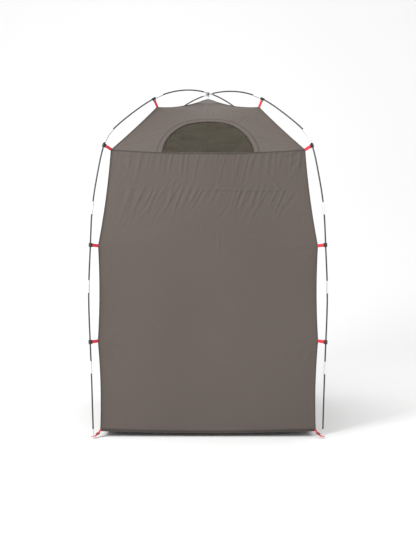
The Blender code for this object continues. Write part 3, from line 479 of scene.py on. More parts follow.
class Folds:
    """The creases of a stretched sheet. Each is a soft ridge along a short line of the flat cloth."""

    def __init__(self, seed: int) -> None:
        """Starts with no folds.

        Args:
            seed: Fixes where the folds fall.
        """
        self.random = np.random.default_rng(seed)
        self.lines: list[tuple[float, ...]] = []

    def add(self, start: Sequence[float], end: Sequence[float], width: float, height: float) -> None:
        """Adds one fold.

        Args:
            start: Where it begins on the cloth.
            end: Where it ends.
            width: From its crest to its foot.
            height: Of its crest.
        """
        self.lines.append((*start, *end, width, height))

    def add_varied(self, start: Sequence[float], end: Sequence[float], *sizes: Sequence[float]) -> None:
        """Adds one fold. Its width and height are given with the least and greatest share to draw from."""
        self.add(start, end, *(size * self.random.uniform(low, high) for size, low, high in sizes))

    def fan(
        self,
        centre: Sequence[float],
        spread: Sequence[float],
        reach: Sequence[float],
        count: int,
        width: float,
        height: float,
    ) -> None:
        """Adds folds that run out from a point where the cloth is pulled.

        Args:
            centre: The point.
            spread: The first and the last direction, in degrees.
            reach: Where the folds begin and end, from the centre.
            count: How many there are.
            width: Of one fold.
            height: Of one fold.
        """
        for k in range(count):
            share = (k + self.random.uniform(0.15, 0.85)) / count
            turn = math.radians(spread[0] + (spread[1] - spread[0]) * share)
            near = reach[0] * self.random.uniform(0.6, 1.5)
            far = reach[1] * self.random.uniform(0.55, 1.1)
            toward = (math.cos(turn), math.sin(turn))
            start, end = ([c + r * t for c, t in zip(centre, toward)] for r in (near, far))
            self.add_varied(start, end, (width, 0.7, 1.3), (height, 0.5, 1.2))

    def gathers(
        self,
        start: Sequence[float],
        end: Sequence[float],
        lean: float,
        length: float,
        count: int,
        width: float,
        height: float,
    ) -> None:
        """Adds folds that hang from a seam.

        Args:
            start: One end of the gathered stretch.
            end: Its other end.
            lean: How far a fold's foot is from its head, along the seam, for its length.
            length: Of the longest folds.
            count: How many there are.
            width: Of one fold.
            height: Of one fold.
        """
        for k in range(count):
            share = (k + self.random.uniform(0.1, 0.9)) / count
            head = [a + (b - a) * share for a, b in zip(start, end)]
            drop = length * self.random.uniform(0.45, 1.0)
            shift = drop * lean * self.random.uniform(0.5, 1.5)
            foot = (head[0] + shift, head[1] - drop)
            top = (head[0], head[1] + drop * 0.25)
            self.add_varied(top, foot, (width, 0.7, 1.4), (height, 0.4, 1.2))

    def crumple(
        self,
        low: Sequence[float],
        high: Sequence[float],
        count: int,
        lengths: Sequence[float],
        angles: Sequence[float],
        width: float,
        height: float,
    ) -> None:
        """Adds short creases, scattered over a rectangle of the cloth.

        Args:
            low: The rectangle's lowest corner.
            high: Its highest corner.
            count: How many there are.
            lengths: The shortest and the longest.
            angles: The least and the greatest direction, in degrees.
            width: Of one crease.
            height: Of one crease.
        """
        for _ in range(count):
            x, y = (self.random.uniform(a, b) for a, b in zip(low, high))
            length, turn = self.random.uniform(*lengths), math.radians(self.random.uniform(*angles))
            end = (x + length * math.cos(turn), y + length * math.sin(turn))
            self.add_varied((x, y), end, (width, 0.7, 1.3), (height, 0.4, 1.4))

    def relief(self, across: np.ndarray, up: np.ndarray) -> np.ndarray:
        """The height of the folds over the cloth.

        Args:
            across: Places across the cloth.
            up: Places up the cloth.

        Returns:
            The height at each place.
        """
        total = np.zeros_like(across)
        for x0, y0, x1, y1, width, height in self.lines:
            length = math.hypot(x1 - x0, y1 - y0)
            dx, dy = (x1 - x0) / length, (y1 - y0) / length
            along = ((across - x0) * dx + (up - y0) * dy) / length
            off = ((across - x0) * dy - (up - y0) * dx) / width
            ends = np.sin(np.pi * np.clip(along, 0.0, 1.0)) ** 0.8
            total += height * ends * (1 - off**2) * np.exp(-(off**2) / 2)
        return total


def swell(across: np.ndarray, up: np.ndarray, wavelength: float, height: float, seed: int) -> np.ndarray:
    """Broad, uneven waves over a sheet.

    Args:
        across: Places across the cloth.
        up: Places up the cloth.
        wavelength: A typical distance from crest to crest.
        height: A typical height.
        seed: Fixes the pattern.

    Returns:
        The height at each place.
    """
    random = np.random.default_rng(seed)
    total = np.zeros_like(across)
    for _ in range(9):
        turn, phase = random.uniform(0, 2 * math.pi, 2)
        rate = 2 * math.pi / wavelength / random.uniform(0.7, 1.6)
        total += np.sin(rate * (across * math.cos(turn) + up * math.sin(turn)) + phase)
    return total * height / 3


# ------------------------------------------------------------------ the tent's surfaces


def soft_step(x: np.ndarray) -> np.ndarray:
    """A smooth rise from 0 at 0 to 1 at 1."""
    x = np.clip(x, 0.0, 1.0)
    return x * x * (3 - 2 * x)


@dataclass
class TentShape:
    """The cloth's levels, read from the clips of the frame, and the surfaces between them."""

    tab_reach: float = 0.0405
    foot_run: float = 0.048
    apex_drop: float = 0.047
    hem_corner: float = 0.033
    seam_sag: float = 0.020
    ridge_sag: float = 0.018
    roof_hollow: float = 0.055
    crown_rounding: float = 0.42
    hole_half: float = 0.0195
    door_gap: float = 0.004
    wall_scallop: float = 0.007
    ridge_scallop: float = 0.004
    profile: list[tuple[float, float]] = field(default_factory=list)

    def __post_init__(self) -> None:
        """Reads the levels from the frame."""
        mounts = {m["name"]: m["pos_m"] for m in frame["record"]["mounts"]}
        foot = mounts["foot_front_right"][0]
        self.hem = (foot - self.foot_run / math.sqrt(2), self.hem_corner)
        self.knee, self.waist, self.seam, self.crown = (
            self._fabric_corner(level) for level in (Level.KNEE, Level.WAIST, Level.SHOULDER, Level.CROWN)
        )
        self.profile = [self.hem, self.knee, self.waist, self.seam]
        self.apex = (0.0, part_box("crown_pole_a")[1].z - self.apex_drop)
        self.hem_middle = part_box("front_wall")[0].z
        self.door_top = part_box("door_leaf_left")[1].z + self.door_gap

    def _fabric_corner(self, level: Level) -> tuple[float, float]:
        """The half width and height of the cloth's corner at a clip."""
        place = clip_place(Corner.FRONT_RIGHT, level)
        point = place @ Vector((-self.tab_reach, 0.0, 0.0))
        return point.x, point.z

    def half_width(self, z: np.ndarray) -> np.ndarray:
        """Half the walls' width at their corners. Between two clips the edge is drawn in a little."""
        widths, heights = zip(*self.profile)
        straight = np.interp(z, heights, widths)
        below = np.clip(np.searchsorted(heights, z, side="right") - 1, 0, len(heights) - 2)
        low = np.take(heights, below)
        high = np.take(heights, below + 1)
        t = np.clip((z - low) / (high - low), 0.0, 1.0)
        return straight - self.wall_scallop * 4 * t * (1 - t)

    def hem_line(self, x: np.ndarray) -> np.ndarray:
        """The height of the walls' lower edge."""
        share = np.minimum(1.0, np.abs(x) / self.hem[0]) ** 2
        return self.hem_middle + (self.hem_corner - self.hem_middle) * share

    def wall(self, x: np.ndarray, z: np.ndarray) -> np.ndarray:
        """Points of a wall in the window side's frame.

        Args:
            x: Places across, in metres.
            z: Nominal heights. The hem and the seam sag below theirs in the middle.

        Returns:
            The points.
        """
        corner = self.half_width(z)
        share = np.clip((z - self.hem[1]) / (self.seam[1] - self.hem[1]), 0.0, 1.0)
        middle = self.hem[0] + (self.seam[0] - self.hem[0]) * share
        u2 = np.minimum(1.0, np.abs(x) / corner) ** 2
        depth = middle + (corner - middle) * u2
        near_seam = np.clip((z - self.door_top) / (self.seam[1] - self.door_top), 0.0, 1.0)
        height = np.maximum(z, self.hem_line(x)) - self.seam_sag * near_seam * (1 - u2)
        return np.stack([x, -depth, height], axis=-1)

    def ridge(self, t: np.ndarray) -> tuple[np.ndarray, ...]:
        """A roof panel's rows, from 0 at the seam through 1 at the crown clips to 2 at the peak's hole.

        Args:
            t: The rows.

        Returns:
            Half width, height, how far the middle is drawn in, and how far it hangs down.
        """
        rise = (self.apex[1] - self.crown[1]) * (1 - self.hole_half / self.crown[0])
        top = (self.hole_half, self.crown[1] + rise)
        low, high = np.clip(t, 0.0, 1.0), np.clip(t - 1.0, 0.0, 1.0)
        width = self.seam[0] + (self.crown[0] - self.seam[0]) * low + (top[0] - self.crown[0]) * high
        height = self.seam[1] + (self.crown[1] - self.seam[1]) * low + (top[1] - self.crown[1]) * high
        width = width - self.ridge_scallop * 4 * low * (1 - low)
        height = height - self.ridge_sag * 4 * high * (1 - high)
        hollow = self.roof_hollow * np.where(t < 1, np.sin(np.pi / 2 * low), np.cos(np.pi / 2 * high))
        return width, height, hollow, self.seam_sag * (1 - low) ** 2

    def roof(self, u: np.ndarray, t: np.ndarray) -> np.ndarray:
        """Points of a roof panel, whose break at the crown clips is rounded off away from its ridges.

        Args:
            u: Places across, from -1 to 1.
            t: Rows, as ridge takes them.

        Returns:
            The points.
        """
        reach = self.crown_rounding * (1 - u**2) * soft_step(np.minimum(t, 2 - t) / 0.5)
        shifts = np.linspace(-1, 1, 7)
        return sum(self.creased_roof(u, np.clip(t + reach * shift, 0, 2)) for shift in shifts) / len(shifts)

    def creased_roof(self, u: np.ndarray, t: np.ndarray) -> np.ndarray:
        """Points of a roof panel in the window side's frame.

        Args:
            u: Places across, from -1 to 1.
            t: Rows, as ridge takes them.

        Returns:
            The points.
        """
        width, height, hollow, down = self.ridge(t)
        bow = 1 - u**2
        return np.stack([u * width, hollow * bow - width, height - down * bow], axis=-1)

    @property
    def slope(self) -> float:
        """The angle of a roof panel's lower part, in radians."""
        return math.atan2(self.crown[1] - self.seam[1], self.seam[0] - self.crown[0])

    def up_slope(self, points: np.ndarray) -> np.ndarray:
        """How far points lie up the slope from the line between the panel's lower corners."""
        level, rise = points[..., 1] + self.seam[0], points[..., 2] - self.seam[1]
        return level * math.cos(self.slope) + rise * math.sin(self.slope)


def clip_place(corner: Corner, level: Level) -> Matrix:
    """A clip's own frame: the origin on its bar, X towards the pole, Z along the pole.

    Args:
        corner: Which corner.
        level: Which clip of it.

    Returns:
        The matrix from that frame to the tent's.
    """
    name = f"clip_{corner.label}_{level.value}_turn"
    joint = next(j for j in frame["joints"] if j["name"] == name)
    tangent = Vector(joint["axis"]).normalized()
    normal = UP.cross(corner.outward).cross(tangent)
    if normal.dot(corner.outward) < 0 and normal.z < 0.5:
        normal = -normal
    across = tangent.cross(normal)
    axes = Matrix((normal, across, tangent)).transposed().to_4x4()
    return Matrix.Translation(joint["pos_m"]) @ axes


# ------------------------------------------------------------------ making and placing pieces


def add_object(name: str, data: bpy.types.ID) -> bpy.types.Object:
    """Makes an object of mesh, lamp or camera data, and puts it in the scene."""
    made = bpy.data.objects.new(name, data)
    bpy.context.scene.collection.objects.link(made)
    return made


class Maker:
    """Turns points into pieces, and hands each to the frame."""

    SHARP = math.radians(40)

    def __init__(self, palette: Palette) -> None:
        """Keeps the materials.

        Args:
            palette: The tent's materials.
        """
        self.palette = palette

    def look(self, slot: Slot) -> bpy.types.Material:
        """The material of a slot."""
        return self.palette.by_slot[slot]

    def grid(
        self,
        name: str,
        points: np.ndarray,
        material: bpy.types.Material,
        cloth: np.ndarray | None = None,
        keep: np.ndarray | None = None,
        wrap: bool = False,
    ) -> bpy.types.Object:
        """A piece from a grid of points.

        Args:
            name: The piece's name.
            points: Rows that run up and columns that run across, seen from outside.
            material: Its material.
            cloth: The flat cloth's coordinates of each point, in metres.
            keep: Which cells there are.
            wrap: True to join the last column to the first.

        Returns:
            The object.
        """
        rows, columns = points.shape[:2]
        i, j = np.meshgrid(np.arange(rows - 1), np.arange(columns if wrap else columns - 1), indexing="ij")
        if keep is not None:
            i, j = i[keep], j[keep]
        i, j = i.ravel(), j.ravel()
        k = (j + 1) % columns
        low, high = i * columns, (i + 1) * columns
        quads = np.stack([low + j, low + k, high + k, high + j], axis=1)
        used, quads = np.unique(quads, return_inverse=True)
        quads = quads.reshape(-1, 4)
        flat = points.reshape(-1, 3)[used]
        mesh = bpy.data.meshes.new(name)
        mesh.from_pydata(flat.tolist(), [], quads.tolist())
        if cloth is not None:
            layer = mesh.uv_layers.new(name="cloth")
            places = cloth.reshape(-1, 2)[used][quads.ravel()]
            layer.data.foreach_set("uv", places.astype(np.float32).ravel())
        return self.piece(name, mesh, material)

    def piece(self, name: str, mesh: bpy.types.Mesh, material: bpy.types.Material) -> bpy.types.Object:
        """An object in the scene, shaded smooth."""
        mesh.materials.clear()
        mesh.materials.append(material)
        mesh.shade_smooth()
        return add_object(name, mesh)

    def band(
        self,
        name: str,
        rings: np.ndarray,
        slot: Slot = Slot.FABRIC,
        body: str = ROOT,
        material: bpy.types.Material | None = None,
    ) -> bpy.types.Object:
        """A sewn band of one loft, handed over. Its material is its slot's unless one is given."""
        made = self.solids(name, [rings], material or self.look(slot), cloth=True)
        return self.hand_over(made, slot, body)

    def solids(
        self,
        name: str,
        lofts: Sequence[np.ndarray],
        material: bpy.types.Material,
        cloth: bool = False,
        loop: bool = False,
    ) -> bpy.types.Object:
        """One piece of several lofts.

        Args:
            name: The piece's name.
            lofts: Each of shape (rings, points of a ring, 3).
            material: Its material.
            cloth: True to lay flat coordinates along and round the rings.
            loop: True to join each loft's last ring to its first, and False to cap both.

        Returns:
            The object.
        """
        points: list[np.ndarray] = []
        faces: list[tuple[int, ...]] = []
        places: list[tuple[float, float]] = []
        start = 0
        for rings in lofts:
            count, sides = rings.shape[:2]
            along = np.concatenate([[0.0], np.cumsum(np.linalg.norm(np.diff(rings[:, 0], axis=0), axis=1))])
            round_ring = np.linalg.norm(np.roll(rings[0], -1, axis=0) - rings[0], axis=1)
            around = np.concatenate([[0.0], np.cumsum(round_ring)])
            along = np.append(along, along[-1] + np.linalg.norm(rings[0, 0] - rings[-1, 0]))
            for a in range(count if loop else count - 1):
                b = (a + 1) % count
                for k in range(sides):
                    m = (k + 1) % sides
                    quad = (a * sides + k, a * sides + m, b * sides + m, b * sides + k)
                    faces.append(tuple(start + n for n in quad))
                    places += [(around[k + i], along[a + j]) for i, j in ((0, 0), (1, 0), (1, 1), (0, 1))]
            if not loop:
                for cap in (reversed(range(sides)), ((count - 1) * sides + k for k in range(sides))):
                    faces.append(tuple(start + k for k in cap))
                    places += [(0.0, 0.0)] * sides
            points.append(rings.reshape(-1, 3))
            start += count * sides
        mesh = bpy.data.meshes.new(name)
        mesh.from_pydata(np.concatenate(points).tolist(), [], faces)
        if cloth:
            layer = mesh.uv_layers.new(name="cloth")
            layer.data.foreach_set("uv", np.array(places, np.float32).ravel())
        self.face_outwards(mesh)
        made = self.piece(name, mesh, material)
        made.data.set_sharp_from_angle(angle=self.SHARP)
        return made

    @staticmethod
    def face_outwards(mesh: bpy.types.Mesh) -> None:
        """Turns the faces of closed bodies outwards."""
        work = bmesh.new()
        work.from_mesh(mesh)
        bmesh.ops.recalc_face_normals(work, faces=work.faces)
        work.to_mesh(mesh)
        work.free()

    @staticmethod
    def hand_over(made: bpy.types.Object, slot: Slot, body: str = ROOT, *nodes: str) -> bpy.types.Object:
        """Gives a piece its body, and hides the frame's nodes that it stands for.

        Args:
            made: The piece.
            slot: The record's slot; not used.
            body: The body that it rides on.
            nodes: The frame's nodes that it replaces.

        Returns:
            The piece.
        """
        if nodes:
            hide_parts(*nodes)
        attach(made, body)
        LOG.info("%s on %s, %d faces", made.name, body, len(made.data.polygons))
        return made


# ------------------------------------------------------------------ node trees for what repeats


class PathTree(NodeTree):
    """Base of the node trees that work along lines of points."""

    name = "path"

    def __init__(self) -> None:
        """Builds the tree."""
        self.tree = bpy.data.node_groups.new(self.name, "GeometryNodeTree")
        self.tree.interface.new_socket("Geometry", in_out="INPUT", socket_type="NodeSocketGeometry")
        self.tree.interface.new_socket("Geometry", in_out="OUTPUT", socket_type="NodeSocketGeometry")
        self.tree.interface.new_socket("Material", in_out="INPUT", socket_type="NodeSocketMaterial")
        for label, kind in self.sizes():
            self.tree.interface.new_socket(label, in_out="INPUT", socket_type=kind)
        self.source = self.node("NodeGroupInput")
        self.build()

    def sizes(self) -> list[tuple[str, str]]:
        """The tree's own inputs, by name and socket type."""
        return []

    def build(self) -> None:
        """Adds the nodes between the input and the output."""

    def finish(self, geometry: bpy.types.NodeSocket) -> None:
        """Ends the tree: real geometry, with its material."""
        realize = self.node("GeometryNodeRealizeInstances")
        dress = self.node("GeometryNodeSetMaterial")
        out = self.node("NodeGroupOutput")
        self.link(geometry, realize.inputs["Geometry"])
        self.link(realize.outputs["Geometry"], dress.inputs["Geometry"])
        self.link(self.source.outputs["Material"], dress.inputs["Material"])
        self.link(dress.outputs["Geometry"], out.inputs["Geometry"])

    def run(
        self, name: str, lines: Sequence[Line], material: bpy.types.Material, **sizes: object
    ) -> bpy.types.Mesh:
        """Runs the tree along lines.

        Args:
            name: The mesh's name.
            lines: Each an array of points.
            material: The result's material.
            sizes: Values for the tree's inputs, by name.

        Returns:
            The plain mesh.
        """
        points = np.concatenate(lines)
        edges, start = [], 0
        for line in lines:
            edges += [(start + k, start + k + 1) for k in range(len(line) - 1)]
            start += len(line)
        mesh = bpy.data.meshes.new(name + "_path")
        mesh.from_pydata(points.tolist(), edges, [])
        holder = add_object(name + "_path", mesh)
        modifier = holder.modifiers.new("nodes", "NODES")
        modifier.node_group = self.tree
        values = {**sizes, "Material": material}
        for item in self.tree.interface.items_tree:
            if item.in_out == "INPUT" and item.name in values:
                modifier[item.identifier] = values[item.name]
        bpy.context.view_layer.update()
        finished = holder.evaluated_get(bpy.context.evaluated_depsgraph_get())
        result = bpy.data.meshes.new_from_object(finished)
        result.name = name
        holder.modifiers.clear()
        bpy.data.objects.remove(holder)
        bpy.data.meshes.remove(mesh)
        return result


class TubeTree(PathTree):
    """A round, capped tube along each line, such as a pole section or a rolled seam."""

    name = "tube_along_line"

    def sizes(self) -> list[tuple[str, str]]:
        """Radius and sides of the tube."""
        return [("Radius", "NodeSocketFloat"), ("Sides", "NodeSocketInt")]

    def build(self) -> None:
        """Line to curve, and a circle swept along it."""
        curve = self.node("GeometryNodeMeshToCurve")
        circle = self.node("GeometryNodeCurvePrimitiveCircle")
        sweep = self.node("GeometryNodeCurveToMesh")
        sweep.inputs["Fill Caps"].default_value = True
        self.link(self.source.outputs["Geometry"], curve.inputs["Mesh"])
        self.link(self.source.outputs["Radius"], circle.inputs["Radius"])
        self.link(self.source.outputs["Sides"], circle.inputs["Resolution"])
        self.link(curve.outputs["Curve"], sweep.inputs["Curve"])
        self.link(circle.outputs["Curve"], sweep.inputs["Profile Curve"])
        self.finish(sweep.outputs["Mesh"])


class StitchTree(PathTree):
    """Small rods laid end to end along each line, as stitches or as the coils of a zip."""

    name = "stitches_along_line"

    def sizes(self) -> list[tuple[str, str]]:
        """Pitch, the length and radius of one stitch, and a vector that turns it off the line."""
        plain = [(label, "NodeSocketFloat") for label in ("Pitch", "Length", "Radius")]
        return [*plain, ("Across", "NodeSocketVector")]

    def build(self) -> None:
        """Evenly spaced points, each with a rod that lies along the line or across it."""
        curve, spaced = self.node("GeometryNodeMeshToCurve"), self.node("GeometryNodeResampleCurve")
        for socket in spaced.inputs:
            if socket.name == "Mode":
                socket.default_value = "Length"
        if hasattr(spaced, "mode"):
            spaced.mode = "LENGTH"
        rod = self.node("GeometryNodeMeshCylinder")
        rod.inputs["Vertices"].default_value = 4
        tangent = self.node("GeometryNodeInputTangent")
        aim = self.node("ShaderNodeVectorMath", operation="ADD")
        align = self.node("FunctionNodeAlignRotationToVector", axis="Z")
        scatter = self.node("GeometryNodeInstanceOnPoints")
        self.link(self.source.outputs["Geometry"], curve.inputs["Mesh"])
        self.link(curve.outputs["Curve"], spaced.inputs["Curve"])
        self.link(self.source.outputs["Pitch"], spaced.inputs["Length"])
        self.link(self.source.outputs["Radius"], rod.inputs["Radius"])
        self.link(self.source.outputs["Length"], rod.inputs["Depth"])
        self.link(tangent.outputs["Tangent"], aim.inputs[0])
        self.link(self.source.outputs["Across"], aim.inputs[1])
        self.link(aim.outputs["Vector"], align.inputs["Vector"])
        self.link(spaced.outputs["Curve"], scatter.inputs["Points"])
        self.link(rod.outputs["Mesh"], scatter.inputs["Instance"])
        self.link(align.outputs["Rotation"], scatter.inputs["Rotation"])
        self.finish(scatter.outputs["Instances"])


# ------------------------------------------------------------------ stretched sheets


WAVE_SEED = 7


@dataclass
class Sheet:
    """A stretched sheet: a smooth surface, its folds and its broad waves."""

    side: Side
    surface: Callable[[np.ndarray, np.ndarray], np.ndarray]
    flat: Callable[[np.ndarray, np.ndarray], tuple[np.ndarray, np.ndarray]]
    freedom: Callable[[np.ndarray, np.ndarray], np.ndarray]
    folds: Folds
    wavelength: float = 0.4
    wave: float = 0.002
    probe: float = 1e-4

    def at(self, a: np.ndarray, b: np.ndarray, lift: np.ndarray | float = 0.0) -> np.ndarray:
        """Points on the sheet, or off it along its normals.

        Args:
            a: The surface's first parameter.
            b: The surface's second parameter.
            lift: How far outside the sheet.

        Returns:
            The points in the tent's frame.
        """
        points = self.surface(a, b)
        e = self.probe
        across = self.surface(a + e, b) - self.surface(a - e, b)
        up = self.surface(a, b + e) - self.surface(a, b - e)
        normal = np.cross(across, up)
        normal /= np.maximum(np.linalg.norm(normal, axis=-1, keepdims=True), TINY)
        x, y = self.flat(a, b)
        height = self.folds.relief(x, y) + swell(x, y, self.wavelength, self.wave, WAVE_SEED)
        return self.side.place(points + normal * (height * self.freedom(a, b) + lift)[..., None])

    def strip(
        self, a: np.ndarray, b: np.ndarray, lifts: tuple[float, float], crown: float = 0.0004
    ) -> np.ndarray:
        """Rings for a band that is sewn on both faces of the sheet.

        Args:
            a: Parameters, one row for each station and one column across the band.
            b: As a.
            lifts: The band's inside and outside face.
            crown: How much its edges are thinner.

        Returns:
            One ring for each station.
        """
        soft = np.zeros(a.shape)
        soft[:, 0] = soft[:, -1] = crown
        outer = self.at(a, b, lifts[1] - soft)
        inner = self.at(a, b, lifts[0] + soft)
        return np.concatenate([outer, inner[:, ::-1]], axis=1)


def ribbon_rings(path: np.ndarray, side: Vector, width: float, thickness: float) -> np.ndarray:
    """Rings of a strap with rounded edges.

    Args:
        path: The strap's middle line.
        side: The direction of its width.
        width: Of the strap.
        thickness: Of the strap.

    Returns:
        One ring for each point of the path.
    """
    tangent = np.gradient(path, axis=0)
    across = np.array(side.normalized())
    normal = np.cross(tangent, across)
    normal /= np.linalg.norm(normal, axis=1, keepdims=True)
    half, edge, thick = width / 2, min(0.0009, width / 8), thickness / 2
    over = ((-half, 0.0), (edge - half, thick), (half - edge, thick))
    section = (*over, *((-w, -h) for w, h in over))
    return np.stack([path + across * w + normal * h for w, h in section], axis=1)


def turned_rings(path: np.ndarray, radii: Sequence[float], sides: int) -> np.ndarray:
    """Round rings along a path, one radius for each point.

    Args:
        path: The middle line.
        radii: The radius at each point.
        sides: Points of a ring.

    Returns:
        One ring for each point.
    """
    tangent = np.gradient(path, axis=0)
    tangent /= np.linalg.norm(tangent, axis=1, keepdims=True)
    start = np.array((0.0, 0.0, 1.0)) if abs(tangent[0][2]) < 0.9 else np.array((1.0, 0.0, 0.0))
    first = np.cross(tangent, start)
    first /= np.linalg.norm(first, axis=1, keepdims=True)
    second = np.cross(tangent, first)
    turn = np.linspace(0, 2 * math.pi, sides, endpoint=False)
    rings = first[:, None] * np.cos(turn)[None, :, None] + second[:, None] * np.sin(turn)[None, :, None]
    return path[:, None] + rings * np.array(radii)[:, None, None]


# ------------------------------------------------------------------ walls


# Two ends as place across and drop below the seam, lean, longest fold, count, width and height.
FRONT_GATHERS = (
    ((-0.52, 0.0), (0.54, 0.0), -0.22, 0.24, 27, 0.0085, 0.0024),
    ((-0.47, 0.225), (0.53, 0.235), -0.55, 0.17, 28, 0.0085, 0.0028),
    ((-0.50, 0.34), (0.45, 0.36), -0.75, 0.12, 20, 0.0075, 0.0013),
)
# Lowest and highest corner, count, lengths, angles, width and height.
FRONT_CRUMPLES = (
    ((-0.53, 1.14), (0.50, 1.44), 70, (0.04, 0.11), (38, 75), 0.0065, 0.0011),
    ((-0.50, 0.98), (-0.12, 1.06), 14, (0.05, 0.14), (-12, 14), 0.007, 0.0010),
    ((-0.55, 1.08), (0.50, 1.14), 18, (0.06, 0.20), (-8, 8), 0.006, 0.0009),
)
# Start, end, width and height of the creases that the packing leaves.
FRONT_CREASES = (
    ((-0.12, 1.404), (0.55, 1.398), 0.0065, 0.0024),
    ((-0.52, 1.412), (-0.18, 1.402), 0.0065, 0.0012),
    ((-0.34, 1.116), (0.06, 1.130), 0.0065, 0.0026),
    ((-0.22, 1.112), (0.06, 1.098), 0.0065, 0.0018),
    ((0.08, 1.114), (0.40, 1.120), 0.0070, 0.0018),
    ((0.062, 1.045), (0.060, 1.165), 0.0070, 0.0022),
    ((0.26, 1.60), (0.44, 1.36), 0.0080, 0.0022),
)
FRONT_SEED, WALL_SEED, ROOF_SEED = 11, 31, 101


@dataclass
class Walls:
    """Three whole walls, and the narrow pieces that frame the door in the fourth."""

    shape: TentShape
    maker: Maker
    columns: int = 201
    fine: float = 0.005
    coarse: float = 0.0125
    gathered: float = 0.36
    hem_height: float = 0.016
    door_half: float = 0.5
    ease: float = 0.03
    seam_ease: float = 0.012
    door_ease: float = 0.02
    zip_ease: float = 0.014
    sheets: dict[Side, Sheet] = field(default_factory=dict)

    def __post_init__(self) -> None:
        """Lays out the four walls' folds."""
        for side in Side:
            folds = self.front_folds() if side is Side.FRONT else self.plain_folds(side)
            free = self.freedom(side)
            self.sheets[side] = Sheet(side, self.shape.wall, lambda x, z: (x, z), free, folds, 0.42, 0.0024)

    def freedom(self, side: Side) -> Callable[[np.ndarray, np.ndarray], np.ndarray]:
        """How free the cloth is to leave its smooth surface: not at all along its seams."""
        shape = self.shape

        def share(x: np.ndarray, z: np.ndarray) -> np.ndarray:
            sides = (shape.half_width(z) - np.abs(x)) / self.ease
            free = soft_step(sides) * soft_step((z - shape.hem_line(x)) / self.ease)
            free = free * soft_step((shape.seam[1] - z) / self.seam_ease)
            if side is Side.REAR:
                below = z < shape.door_top + 1e-6
                hinge = soft_step(np.abs(np.abs(x) - self.door_half) / self.door_ease)
                free = free * np.where(below, hinge, 1.0)
                zip_line = soft_step(np.abs(x) / self.zip_ease)
                head = soft_step(np.abs(z - shape.door_top) / self.door_ease)
                free = free * np.where(below, zip_line, 1.0) * head
            return free

        return share

    def front_folds(self) -> Folds:
        """The window side: gathers under the seam that lean one way, and the creases of its packing."""
        folds = Folds(FRONT_SEED)
        seam = self.shape.seam[1]
        for (left, left_drop), (right, right_drop), *gather in FRONT_GATHERS:
            folds.gathers((left, seam - left_drop), (right, seam - right_drop), *gather)
        for crumple in FRONT_CRUMPLES:
            folds.crumple(*crumple)
        for crease in FRONT_CREASES:
            folds.add(*crease)
        self.corner_fans(folds, 0.0016)
        return folds

    def plain_folds(self, side: Side) -> Folds:
        """The other walls: lighter gathers, each side its own."""
        folds = Folds(WALL_SEED + list(Side).index(side))
        seam = self.shape.seam[1]
        folds.gathers((-0.48, seam), (0.48, seam), 0.22, 0.26, 18, 0.014, 0.0032)
        folds.add((-0.55, 1.12), (0.55, 1.115), 0.012, 0.0022)
        folds.add((0.02, 0.35), (0.01, 1.30), 0.012, 0.0012)
        self.corner_fans(folds, 0.0018)
        return folds

    def corner_fans(self, folds: Folds, height: float) -> None:
        """Folds where the clips pull at the corners."""
        for width, z in (self.shape.knee, self.shape.waist, self.shape.seam):
            for x, spread in ((-width, (-70, 35)), (width, (145, 250))):
                folds.fan((x, z), spread, (0.03, 0.24), 5, 0.012, height)

    def rows(self, low: float, high: float) -> np.ndarray:
        """Heights of a panel's rows, close together where the cloth is gathered."""
        split = min(high, max(low, self.shape.seam[1] - self.gathered))
        spans = ((low, split, self.coarse), (split, high, self.fine))
        parts = [np.linspace(a, b, max(1, round((b - a) / step)) + 1) for a, b, step in spans]
        return np.unique(np.concatenate(parts).round(6))

    def panel(
        self, name: str, side: Side, edges: Sequence, heights: np.ndarray, columns: int
    ) -> bpy.types.Object:
        """A piece of a wall.

        Args:
            name: The piece's name.
            side: Which wall.
            edges: Its left and right edge, each a number or a function of height.
            heights: Of its rows.
            columns: How many points each row has.

        Returns:
            The object.
        """
        shape = self.shape
        left, right = (edge(heights) if callable(edge) else np.full_like(heights, edge) for edge in edges)
        share = np.linspace(0, 1, columns)
        x = left[:, None] + (right - left)[:, None] * share[None]
        hem = shape.hem_line(x)
        top = shape.seam[1]
        z = hem + (heights[:, None] - shape.hem_corner) * (top - hem) / (top - shape.hem_corner)
        points = self.sheets[side].at(x, z)
        return self.maker.grid(name, points, self.maker.look(Slot.FABRIC), np.stack([x, z], axis=-1))

    def corners(self) -> tuple[Callable[[np.ndarray], np.ndarray], ...]:
        """A whole wall's left and right edge, as functions of height."""
        corner = self.shape.half_width
        return lambda z: -corner(z), corner

    def build(self) -> None:
        """Makes the walls and their hems."""
        shape = self.shape
        heights = self.rows(shape.hem_corner, shape.seam[1])
        levels = zip(shape.profile, shape.profile[1:])
        area = sum((low[0] + high[0]) * (high[1] - low[1]) for low, high in levels)
        edges = self.corners()
        for side in (Side.FRONT, Side.LEFT, Side.RIGHT):
            name = f"{side.name.lower()}_wall"
            wall = self.panel(f"cloth_{name}", side, edges, heights, self.columns)
            self.maker.hand_over(wall, Slot.FABRIC, ROOT, name)
            hem = self.hem(f"hem_{name}", side, -shape.hem[0], shape.hem[0])
        self.build_door_frame(heights)

